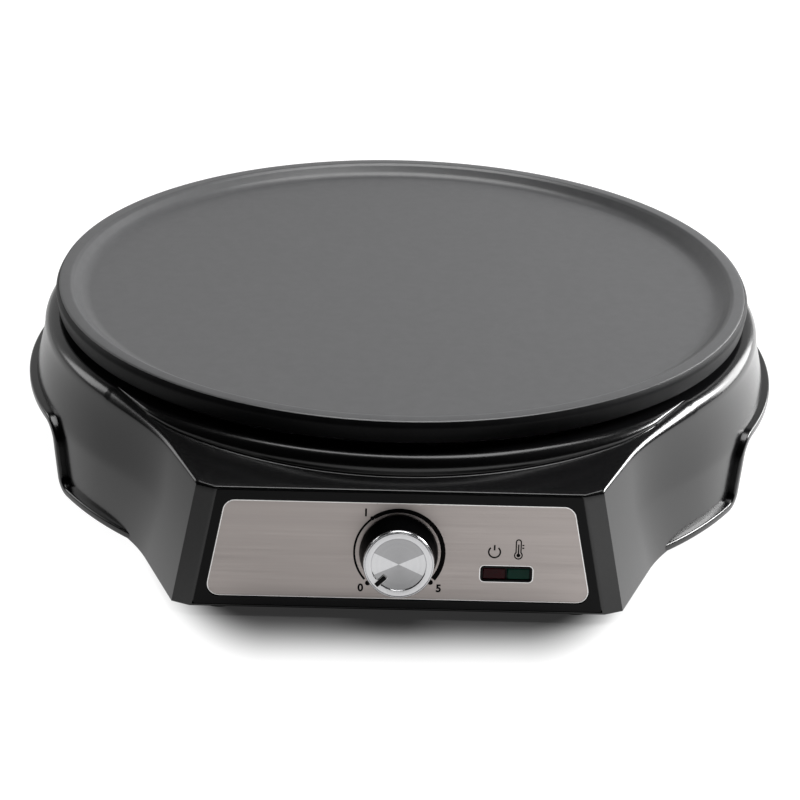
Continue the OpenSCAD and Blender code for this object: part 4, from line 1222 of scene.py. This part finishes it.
@dataclass
class FasciaPrint:
    """The printed scale, numbers and signs: one thin piece on the fascia.

    Sign sizes are counted from the sign's own place.
    """

    base: float
    thick: float = 0.05
    scale_r: float = 17.65
    scale_thin: float = 0.84
    scale_heat: Point2 = (1.6, 2.0)
    thin_turns: Point2 = (221, 129.5)
    heat_turns: Point2 = (124.5, -38)
    scale_steps: int = 60
    dots: tuple[Point2, ...] = ((227.5, 1.05), (127.0, 0.85), (-43.6, 1.05))
    dot_out: float = 0.15
    numbers: tuple[tuple[str, Point2], ...] = (
        ("0", (-14.9, 8.9)), ("1", (-13.3, 40.6)), ("5", (16.2, 9.3)))
    number_h: float = 4.4
    number_weight: float = 0.035
    power_at: Point2 = (38.0, 25.4)
    power_radii: Point2 = (2.62, 2.0)
    power_turns: Point2 = (130, 410)
    power_bar: Point3 = (0.33, 0.7, 2.95)
    heat_at: Point2 = (47.5, 27.1)
    tube_half: float = 1.22
    tube_top: float = 3.9
    bulb_r: float = 1.75
    bulb_drop: float = 2.9
    tube_line: float = 0.5
    drop_r: float = 0.8
    stem: Point3 = (0.26, -2.6, 1.7)
    ticks: Point2 = (-0.1, 1.1)
    tick_span: Point2 = (1.45, 2.2)
    tick_h: float = 0.55

    def scale_line(self, turns: Point2, widths: Point2) -> list[Point2]:
        """Returns the outline of a line of the dial's scale.

        Args:
            turns: Where it starts and ends, in degrees.
            widths: Its width at each end.

        Returns:
            The outline.
        """
        steps = list(zip(spread(*map(math.radians, turns), self.scale_steps),
                         spread(*widths, self.scale_steps)))
        outer = [around(DIAL_AXIS, self.scale_r + width / 2, turn) for turn, width in steps]
        inner = [around(DIAL_AXIS, self.scale_r - width / 2, turn) for turn, width in steps]
        return outer + inner[::-1]

    def number(self, words: str, at: Point2) -> BMesh:
        """Makes a printed number.

        Args:
            words: The number.
            at: Where its middle stands.

        Returns:
            A thin mesh.
        """
        text = bpy.data.curves.new("number", "FONT")
        text.body, text.size = words, self.number_h
        text.offset = self.number_weight * self.number_h
        text.align_x, text.align_y = "CENTER", "CENTER"
        holder = show("number", text)
        bm = bmesh.new()
        bm.from_mesh(holder.to_mesh())
        holder.to_mesh_clear()
        bpy.data.objects.remove(holder)
        bmesh.ops.remove_doubles(bm, verts=bm.verts, dist=MERGE_GAP)
        bmesh.ops.translate(bm, verts=bm.verts, vec=(*at, 0))
        bmesh.ops.extrude_face_region(bm, geom=list(bm.faces))
        lifted = bm.verts[len(bm.verts) // 2:]
        bmesh.ops.translate(bm, verts=lifted, vec=(0, 0, self.thick))
        return bm

    def power_sign(self) -> list[list[Point2]]:
        """Returns the outlines of the power sign's open ring and its bar."""
        x, y = self.power_at
        outer, inner = self.power_radii
        turns = spread(*map(math.radians, self.power_turns), 40)
        half, low, high = self.power_bar
        return [arc(self.power_at, outer, turns) + arc(self.power_at, inner, turns[::-1]),
                box_outline(x - half, y + low, x + half, y + high)]

    def thermometer(self, shrink: float) -> list[Point2]:
        """Returns a plain thermometer's outline, drawn in by a margin.

        Args:
            shrink: The margin.

        Returns:
            The outline.
        """
        x, y = self.heat_at
        side, ball = self.tube_half - shrink, self.bulb_r - shrink
        join = math.acos(side / ball)
        cap = arc((x, y + self.tube_top - self.tube_half), side, spread(0, math.pi, 14))
        foot = arc((x, y - self.bulb_drop), ball,
                   spread(math.pi - join, 2 * math.pi + join, 30))
        return cap + foot

    def heat_sign(self) -> list[list[list[Point2]]]:
        """Returns the heat sign's sheets: the thermometer, the drop in it and the ticks."""
        x, y = self.heat_at
        left, right = self.tick_span
        ticks = [[box_outline(x + left, y + level, x + right, y + level + self.tick_h)]
                 for level in self.ticks]
        return [[self.thermometer(0.0), self.thermometer(self.tube_line)],
                [circle(self.drop_r, (x, y - self.bulb_drop), 24)], *ticks]

    def build(self) -> None:
        """Makes the print."""
        thin, (low, high) = self.scale_thin, self.scale_heat
        sheets = [[self.scale_line(self.thin_turns, (thin, thin))],
                  [self.scale_line(self.heat_turns, (low, high))]]
        sheets += [[circle(size, around(DIAL_AXIS, self.scale_r + self.dot_out,
                                        math.radians(turn)), 28)] for turn, size in self.dots]
        sheets += [[outline] for outline in self.power_sign()] + self.heat_sign()
        bm = bmesh.new()
        for outlines in sheets:
            sheet(bm, outlines, 0, self.thick)
        for words, at in self.numbers:
            merge_into(bm, self.number(words, at))
        (x, y), (half, low, high) = self.heat_at, self.stem
        sheet(bm, [box_outline(x - half, y + low, x + half, y + high)], 0.01, self.thick + 0.01)
        bmesh.ops.translate(bm, verts=bm.verts, vec=(0, 0, self.base - 0.005))
        as_piece(bm, "fascia_print", ON_PANEL, "print_black")


@dataclass
class ControlPanel:
    """The black frame, the steel fascia with its printed marks, and the lamps."""

    height: float = PANEL_H
    top_w: float = 145.8
    bottom_w: float = 166.0
    frame_gap: float = 1.1
    frame_round: float = 0.8
    frame_t: float = 4.4
    fascia_drop: float = 0.8
    fascia_t: float = 0.8
    margin_x: float = 4.9
    margin_bottom: float = 4.4
    margin_top: float = 5.2
    fascia_round: float = 5.0
    seat_gap: float = 0.15
    bush_hole: float = 5.3
    bush_step: float = 0.2
    # edge_w, edge_t and edge_proud size the thin lighter rims that paint the highlights on the
    # fascia's edges
    edge_w: float = 0.5
    edge_t: float = 0.4
    edge_proud: float = 0.04
    lamp_at: Point2 = (43.0, 16.2)
    lamp_size: Point2 = (20.6, 6.5)
    lamp_round: float = 1.5
    lamp_gap: float = 0.3
    lamp_wall: float = 0.9
    lamp_depth: float = 9.0
    lamp_proud: float = 0.3
    lens_split: float = 0.5
    lens_share: Point2 = (0.985, 0.97)
    lens_drop: float = 0.2
    lens_t: float = 3.5

    def outline(self, side: float, bottom: float, top: float, bend: float) -> list[Point2]:
        """Returns the panel's outline, drawn in from its edges and rounded.

        Args:
            side: Margin from the sides.
            bottom: Margin from the bottom edge.
            top: Margin from the top edge.
            bend: Radius of the corners.

        Returns:
            The outline.
        """
        lean = (self.bottom_w - self.top_w) / 2 / self.height
        low, high = self.bottom_w / 2 - side, self.top_w / 2 - side
        corners = [(-low + lean * bottom, bottom), (low - lean * bottom, bottom),
                   (high + lean * top, self.height - top), (-high - lean * top, self.height - top)]
        return softened([(x, y, bend) for x, y in corners], closed=True, steps=10)

    def fascia_outline(self, inset: float, bend: float) -> list[Point2]:
        """Returns the fascia's outline, drawn in by a margin."""
        return self.outline(self.margin_x + inset, self.margin_bottom + inset,
                            self.margin_top + inset, bend)

    def lamp_outline(self, grow: float) -> list[Point2]:
        """Returns the lamp window's outline, grown by a margin.

        Args:
            grow: The margin.

        Returns:
            The outline.
        """
        x, y = self.lamp_at
        half_w, half_h = self.lamp_size[0] / 2 + grow, self.lamp_size[1] / 2 + grow
        corners = box_outline(x - half_w, y - half_h, x + half_w, y + half_h)
        return softened([(*c, self.lamp_round + grow) for c in corners], closed=True, steps=6)

    def lens_outline(self, side: int, share: Point2 = (1.0, 1.0)) -> list[Point2]:
        """Returns the outline of a lens's opening, or of the lens in it.

        Args:
            side: -1 for the left lens, 1 for the right one.
            share: How much of the opening's width and height the outline takes.

        Returns:
            The outline.
        """
        width = (self.lamp_size[0] - 2 * self.lamp_wall - self.lens_split) / 2
        height = self.lamp_size[1] - 2 * self.lamp_wall
        x, y = self.lamp_at[0] + side * (width + self.lens_split) / 2, self.lamp_at[1]
        half_w, half_h = (width / 2 + 0.05) * share[0], (height / 2 + 0.05) * share[1]
        return box_outline(x - half_w, y - half_h, x + half_w, y + half_h)

    def frame_piece(self) -> None:
        """Makes the black frame with the recess that holds the fascia."""
        bm = bmesh.new()
        floor = -self.fascia_drop - self.fascia_t
        edge = self.outline(*[self.frame_gap] * 3, self.frame_round)
        sheet(bm, [edge, self.fascia_outline(-self.seat_gap, self.fascia_round)], floor, 0.0,
              bevel=0.35, segments=3)
        bush = circle(self.bush_hole - self.bush_step, DIAL_AXIS)
        sheet(bm, [edge, bush, self.lamp_outline(self.lamp_gap)], -self.frame_t, floor - 0.01)
        as_piece(bm, "panel_frame", ON_PANEL, "bezel_satin", replaces=["front_bezel"], level=True)

    def fascia(self) -> None:
        """Makes the steel fascia with its two openings, and lighter rims that paint the highlights
        on its edges.
        """
        bm, face = bmesh.new(), -self.fascia_drop
        outline = self.fascia_outline(0.0, self.fascia_round)
        sheet(bm, [outline, circle(self.bush_hole, DIAL_AXIS), self.lamp_outline(self.lamp_gap)],
              face - self.fascia_t, face, bevel=0.25)
        as_piece(bm, "fascia_sheet", ON_PANEL, "fascia_steel", replaces=["fascia_plate"],
                 level=True)
        # thin lighter rims round the fascia and the lamp window: painted highlights on their bevels
        line = bmesh.new()
        inner = self.fascia_outline(self.edge_w, self.fascia_round - self.edge_w)
        for outlines, bevel in (([outline, inner], 0.12),
                                ([self.lamp_outline(self.edge_w), self.lamp_outline(0.03)], 0.1)):
            sheet(line, outlines, face - self.edge_t, face + self.edge_proud, bevel=bevel)
        as_piece(line, "fascia_edge", ON_PANEL, "fascia_steel", finish="painted_highlight_edge", level=True)

    def lamps(self) -> None:
        """Makes the lamp window and its two lenses."""
        bm = bmesh.new()
        sheet(bm, [self.lamp_outline(0.0), self.lens_outline(-1), self.lens_outline(1)],
              -self.frame_t - self.lamp_depth, -self.fascia_drop + self.lamp_proud, bevel=0.2)
        as_piece(bm, "lamp_window", ON_PANEL, "bezel_satin", replaces=["lamp_holder"], level=True)
        top = -self.fascia_drop - self.lens_drop
        for tone, side in (("red", -1), ("green", 1)):
            lens = bmesh.new()
            sheet(lens, [self.lens_outline(side, self.lens_share)], top - self.lens_t, top,
                  bevel=0.45, segments=3)
            as_piece(lens, f"{tone}_lamp_lens", ON_PANEL, f"lens_{tone}", level=True,
                     replaces=[f"{tone}_lens"])

    def build(self) -> None:
        """Makes the panel's pieces."""
        self.frame_piece()
        self.fascia()
        self.lamps()
        FasciaPrint(-self.fascia_drop).build()


# ---- the dial ----


@dataclass
class Dial:
    """The black dial body, its spun metal cap and the pointer let into it."""

    base_r: float = 15.7
    cap_r: float = 14.0
    face: float = 13.0
    cap_edge_h: float = 1.6
    start_z: float = -0.2
    cap_t: float = 0.8
    cap_clearance: float = 0.3
    seat_w: float = 1.1
    rim_bevel: float = 0.7
    groove_in: float = 0.78
    groove_half: float = 0.16
    groove_depth: float = 0.28
    rim_drop: float = 0.05
    dish_slope: float = 0.25
    dish_depth: float = 0.5
    nut_room: float = 10.1
    room_depth: float = 4.6
    pointer: Point2 = (5.2, 1.9)
    pointer_end: float = 12.4
    pointer_round: float = 0.3
    pointer_sunk: float = 0.2
    # width of the lighter rim round the pointer, a painted highlight on its edge
    pointer_rim: float = 0.12
    pointer_turn: float = math.radians(225)
    body_steps: int = 160
    cap_steps: int = 192

    def body_piece(self) -> None:
        """Makes the black body that flares to the panel."""
        base, cap, z0 = self.base_r, self.cap_r, self.start_z
        seat = self.face - self.cap_edge_h
        under = self.face - self.cap_t - self.cap_clearance
        profile = softened([
            (0, z0 + self.room_depth, 0), (self.nut_room, z0 + self.room_depth, 0.4),
            (self.nut_room, z0, 0.3), (base, z0, 0.35), (base - 0.1, z0 + 1.0, 0.8),
            (cap - 0.15, seat - 0.4, 0.4), (cap - 0.4, seat - 0.12, 0.2),
            (cap - self.seat_w, seat - 0.1, 0.15), (cap - self.seat_w, under, 0.2),
            (0, under, 0)])
        as_piece(turned(profile, self.body_steps), "dial_body", ON_DIAL, "knob_black", "dial",
                 ["knob_body"])

    def cap_piece(self) -> None:
        """Makes the spun cap with its polished rim, a fine groove and the dished disc."""
        r, face = self.cap_r, self.face
        seat = face - self.cap_edge_h
        under = face - self.cap_t - self.cap_clearance + 0.01
        shelf, dish = face - self.rim_drop, face - self.dish_depth
        groove = r - self.groove_in
        profile = softened([
            (0, under, 0), (r - self.cap_t, under, 0.3), (r - self.cap_t, seat, 0.1),
            (r, seat, 0.15), (r, face - self.rim_bevel, 0.3), (r - 0.3, face - 0.12, 0.25),
            (groove + self.groove_half, shelf, 0.1), (groove, face - self.groove_depth, 0.06),
            (groove - self.groove_half, shelf, 0.06), (r - self.seat_w, face, 0.06),
            (DISH_R + self.dish_slope, face, 0.15), (DISH_R, dish, 0.1), (0, dish, 0)])
        bm = turned(profile, self.cap_steps)
        bmesh.ops.remove_doubles(bm, verts=bm.verts, dist=MERGE_GAP)
        self.unwrap(bm)
        as_piece(bm, "dial_cap", ON_DIAL, "knob_metal", "dial", ["knob_cap"])

    def unwrap(self, bm: BMesh) -> None:
        """Lays a map over the cap with its first direction pointing away from the axis.

        Args:
            bm: The cap, drawn round its axis.
        """
        layer = bm.loops.layers.uv.new(SPUN_MAP)
        for face in bm.faces:
            middle = face.calc_center_median()
            here = math.atan2(middle.y, middle.x)
            for loop in face.loops:
                x, y, _ = loop.vert.co
                reach = math.hypot(x, y)
                turn = math.atan2(y, x) if reach > AXIS_GAP else here
                turn += round((here - turn) / math.tau) * math.tau
                loop[layer].uv = (reach / self.cap_r, turn / math.tau)

    def bar_outline(self, grow: float) -> list[Point2]:
        """Returns the pointer's outline, grown by a margin.

        Args:
            grow: The margin.

        Returns:
            The outline.
        """
        start = self.pointer_end - self.pointer[0] - grow
        end, half = self.pointer_end + grow, self.pointer[1] / 2 + grow
        return softened([(*corner, self.pointer_round)
                         for corner in box_outline(start, -half, end, half)], closed=True)

    def pointer_piece(self) -> None:
        """Makes the black bar let into the cap, and a lighter rim round it that paints the
        highlight on its edge.
        """
        turn = ON_DIAL @ Matrix.Rotation(self.pointer_turn, 4, "Z")
        low = self.face - self.dish_depth - self.pointer_sunk
        bar = bmesh.new()
        sheet(bar, [self.bar_outline(0.0)], low, self.face + 0.02, bevel=0.05)
        as_piece(bar, "dial_pointer", turn, "pointer_black", "dial", ["knob_pointer"])
        # the lighter rim paints the highlight on the pointer's edge
        rim = bmesh.new()
        sheet(rim, [self.bar_outline(self.pointer_rim), self.bar_outline(0.01)], low,
              self.face + 0.04, bevel=0.04)
        as_piece(rim, "pointer_rim", turn, "knob_metal", "dial", finish="painted_highlight_edge")

    def build(self) -> None:
        """Makes the dial's pieces."""
        self.body_piece()
        self.cap_piece()
        self.pointer_piece()


# ---- feet and cord inlet ----


@dataclass
class Underside:
    """The rubber feet and the gland of the cord inlet."""

    foot_r: float = 9.0
    foot_taper: float = 1.0
    foot_taper_h: float = 1.2
    feet: tuple[Point2, ...] = ((72, -166.5), (-72, -166.5), (87.97, 118.02), (-87.97, 118.02))
    screw_hole: float = 2.1
    recess: Point2 = (4.2, 2.7)
    foot_steps: int = 64
    gland_r: float = 6.0
    gland_bore: float = 3.7
    gland_length: float = 16.9
    gland_out: float = 2.5
    flange_w: float = 3.0
    gland_steps: int = 96

    def foot_pieces(self) -> None:
        """Makes the four rubber feet."""
        inner, deep = self.recess
        profile = softened([
            (self.screw_hole, FOOT_H, 0), (self.screw_hole, deep, 0.1), (inner, deep, 0.3),
            (inner, 0, 0.4), (self.foot_r - self.foot_taper, 0, 0.7),
            (self.foot_r, self.foot_taper_h, 0.6), (self.foot_r, FOOT_H, 0.3)])
        as_piece(turned(profile, self.foot_steps, True, self.feet), "foot_pads", AROUND_PLATE,
                 "foot_rubber", replaces=["rubber_feet"])

    def gland(self) -> None:
        """Makes the ribbed gland that a lead passes through."""
        outer, bore, top = self.gland_r + self.flange_w, self.gland_bore, self.gland_out
        profile = softened([
            (bore, -self.gland_length, 0.3), (self.gland_r, -self.gland_length, 0.4),
            (self.gland_r, 0, 0.1), (outer, 0, 0.15), (outer, 0.9, 0.4), (outer - 0.8, 2.3, 0.6),
            (bore + 1.6, top, 0.3), (bore + 1.3, top - 0.4, 0.2), (bore + 0.9, top, 0.2),
            (bore, top, 0.5)])
        place = AROUND_PLATE @ Matrix.Translation((0, INLET_Y, INLET_Z)) \
            @ Matrix.Rotation(-math.pi / 2, 4, "X")
        as_piece(turned(profile, self.gland_steps, True), "inlet_gland", place, "gland_black",
                 replaces=["cord_gland"])

    def build(self) -> None:
        """Makes the feet and the gland."""
        self.foot_pieces()
        self.gland()


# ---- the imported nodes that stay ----


def dress_nodes() -> None:
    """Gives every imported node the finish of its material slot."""
    for part in frame["record"]["subparts"]:
        node = frame["nodes"][part["node"]]
        material = FINISHES[part["material_slot"]].material()
        node.data.materials.clear()
        node.data.materials.append(material)
        LOG.info("%s: %s", part["node"], part["material_slot"])


# ---- floor, lamps and camera ----


@dataclass(frozen=True)
class Softbox:
    """A soft white lamp: where it stands and faces, in metres, its size and its watts."""

    name: str
    at: Point3
    target: Point3
    size: Point2
    power: float

    def add(self) -> None:
        """Adds the lamp to the scene."""
        data = bpy.data.lights.new(self.name, "AREA")
        data.shape, data.energy = "RECTANGLE", self.power
        data.size, data.size_y = self.size
        lamp = show(self.name, data)
        lamp.location = self.at
        facing = Vector(self.target) - Vector(self.at)
        lamp.rotation_euler = facing.to_track_quat("-Z", "Y").to_euler()


LAMPS = (
    Softbox("top_softbox", (0.1, 0.25, 1.7), (0, 0, 0), (1.3, 0.9), 21),
    Softbox("right_softbox", (1.15, 0.75, 0.42), (0.1, 0, 0.03), (0.7, 0.6), 11),
    Softbox("right_floor_lamp", (0.85, 0.15, 0.5), (0.32, -0.02, 0), (0.4, 0.3), 14),
    Softbox("left_softbox", (-1.2, 0.5, 0.6), (0, 0, 0.05), (0.5, 0.6), 3),
)


@dataclass
class Studio:
    """The camera at the photograph's angle, the pale floor and the dim room.

    The camera stands in millimetres from the plate's axis. The floor and the
    room are in metres.
    """

    camera_at: Point3 = (-8.34, -937.66, 457.3)
    yaw: float = math.radians(0.54)
    pitch: float = math.radians(25.45)
    roll: float = math.radians(1.60)
    lens: float = 99.0
    sensor_w: float = 36.0
    clip: Point2 = (0.05, 50)
    floor_half: float = 6
    floor_albedo: float = 0.15
    floor_roughness: float = 0.9
    floor_specular: float = 0.1
    floor_lift: float = 0.98
    # shadow_reach, shadow_floor, shadow_flat and shadow_squeeze shape the contact shadow painted
    # into the floor's glow
    shadow_reach: Point2 = (0.172, 0.213)
    shadow_floor: float = 0.03
    shadow_flat: float = 0.05
    shadow_squeeze: float = 3.0
    # mirrored_span and mirrored_ends paint a brighter patch to the right, seen only by glossy rays
    mirrored_span: Point2 = (-0.25, 0.3)
    mirrored_ends: Point2 = (0.6, 1.35)
    back_glow: float = 0.5
    room_glow: float = 0.01
    back_span: Point2 = (0.0, 0.55)
    glow_ends: Point2 = (0.66, 0.46)

    def camera(self) -> None:
        """Places the camera."""
        a, p, r = self.yaw, self.pitch, self.roll
        ahead = Vector((math.sin(a) * math.cos(p), math.cos(a) * math.cos(p), -math.sin(p)))
        right = Vector((math.cos(a), -math.sin(a), 0))
        up = right.cross(ahead)
        across = math.cos(r) * right + math.sin(r) * up
        upward = -math.sin(r) * right + math.cos(r) * up
        data = bpy.data.cameras.new("camera")
        data.lens, data.sensor_width = self.lens, self.sensor_w
        data.clip_start, data.clip_end = self.clip
        camera = show("camera", data)
        turn = Matrix((across, upward, -ahead)).transposed().to_4x4()
        camera.matrix_world = Matrix.Translation(AROUND_PLATE @ Vector(self.camera_at)) @ turn
        bpy.context.scene.camera = camera

    def floor_glow(self, bench: NodeBench) -> Socket:
        """Returns the strength of the floor's own light.

        The floor shows pale to the camera and in glossy sides, with a painted brighter
        patch to the right that only glossy rays see, and a painted soft contact shadow
        under the object.

        Args:
            bench: The floor's nodes.

        Returns:
            The strength.
        """
        rays = bench.add("ShaderNodeLightPath").outputs
        x, y, _ = bench.parts(bench.coordinates("Object"))
        # painted brighter patch to the right, for reflections only
        bright = bench.ramp(x, *self.mirrored_span, *self.mirrored_ends, "LINEAR")
        mirrored = bench.math("MULTIPLY", rays["Is Glossy Ray"], bright)
        seen = bench.math("MAXIMUM", rays["Is Camera Ray"], mirrored)
        seen = bench.math("MAXIMUM", seen, rays["Is Transmission Ray"])
        # painted contact shadow: the glow falls off near the object
        aside = bench.math("SUBTRACT", bench.math("ABSOLUTE", x), self.shadow_flat)
        aside = bench.math("MULTIPLY", bench.math("MAXIMUM", aside, 0.0), self.shadow_squeeze)
        away = bench.ramp(bench.length(aside, y), *self.shadow_reach, self.shadow_floor,
                          self.floor_lift)
        return bench.math("MULTIPLY", seen, away)

    def floor(self) -> None:
        """Makes the pale floor."""
        bm = bmesh.new()
        bmesh.ops.create_grid(bm, x_segments=8, y_segments=8, size=self.floor_half)
        floor = show("floor", as_mesh(bm, "floor"))
        made = bpy.data.materials.new("floor_white")
        made.use_nodes = True
        bench = NodeBench(made.node_tree)
        bench.fill(bench.tree.nodes["Principled BSDF"], {
            "Base Color": (*[self.floor_albedo] * 3, 1),
            "Roughness": self.floor_roughness,
            "Specular IOR Level": self.floor_specular,
            "Emission Color": WHITE,
            "Emission Strength": self.floor_glow(bench),
        })
        floor.data.materials.append(made)

    def world(self) -> None:
        """Makes a dim room that is bright behind the object, low down."""
        world = bpy.data.worlds.new("room")
        world.use_nodes = True
        bpy.context.scene.world = world
        bench = NodeBench(world.node_tree)
        _, y, z = bench.parts(bench.coordinates("Generated"))
        behind = bench.math("MULTIPLY", bench.ramp(y, *self.back_span),
                            bench.ramp(z, *self.glow_ends))
        glow = bench.math("MULTIPLY_ADD", behind, self.back_glow, self.room_glow)
        bench.fill(bench.tree.nodes["Background"], {"Color": WHITE, "Strength": glow})

    def build(self) -> None:
        """Sets up the whole studio."""
        self.camera()
        self.floor()
        self.world()
        for lamp in LAMPS:
            lamp.add()


def main() -> None:
    """Builds the whole scene."""
    logging.basicConfig(level=logging.INFO, format="%(name)s: %(message)s")
    scene = bpy.context.scene
    scene.view_settings.view_transform = "Standard"
    Studio().build()
    dress_nodes()
    for part in (GriddlePlate(), Housing(), ControlPanel(), Dial(), Underside()):
        LOG.info("building %s", type(part).__name__)
        part.build()
    bpy.context.view_layer.update()


if __name__ == "__main__":
    main()
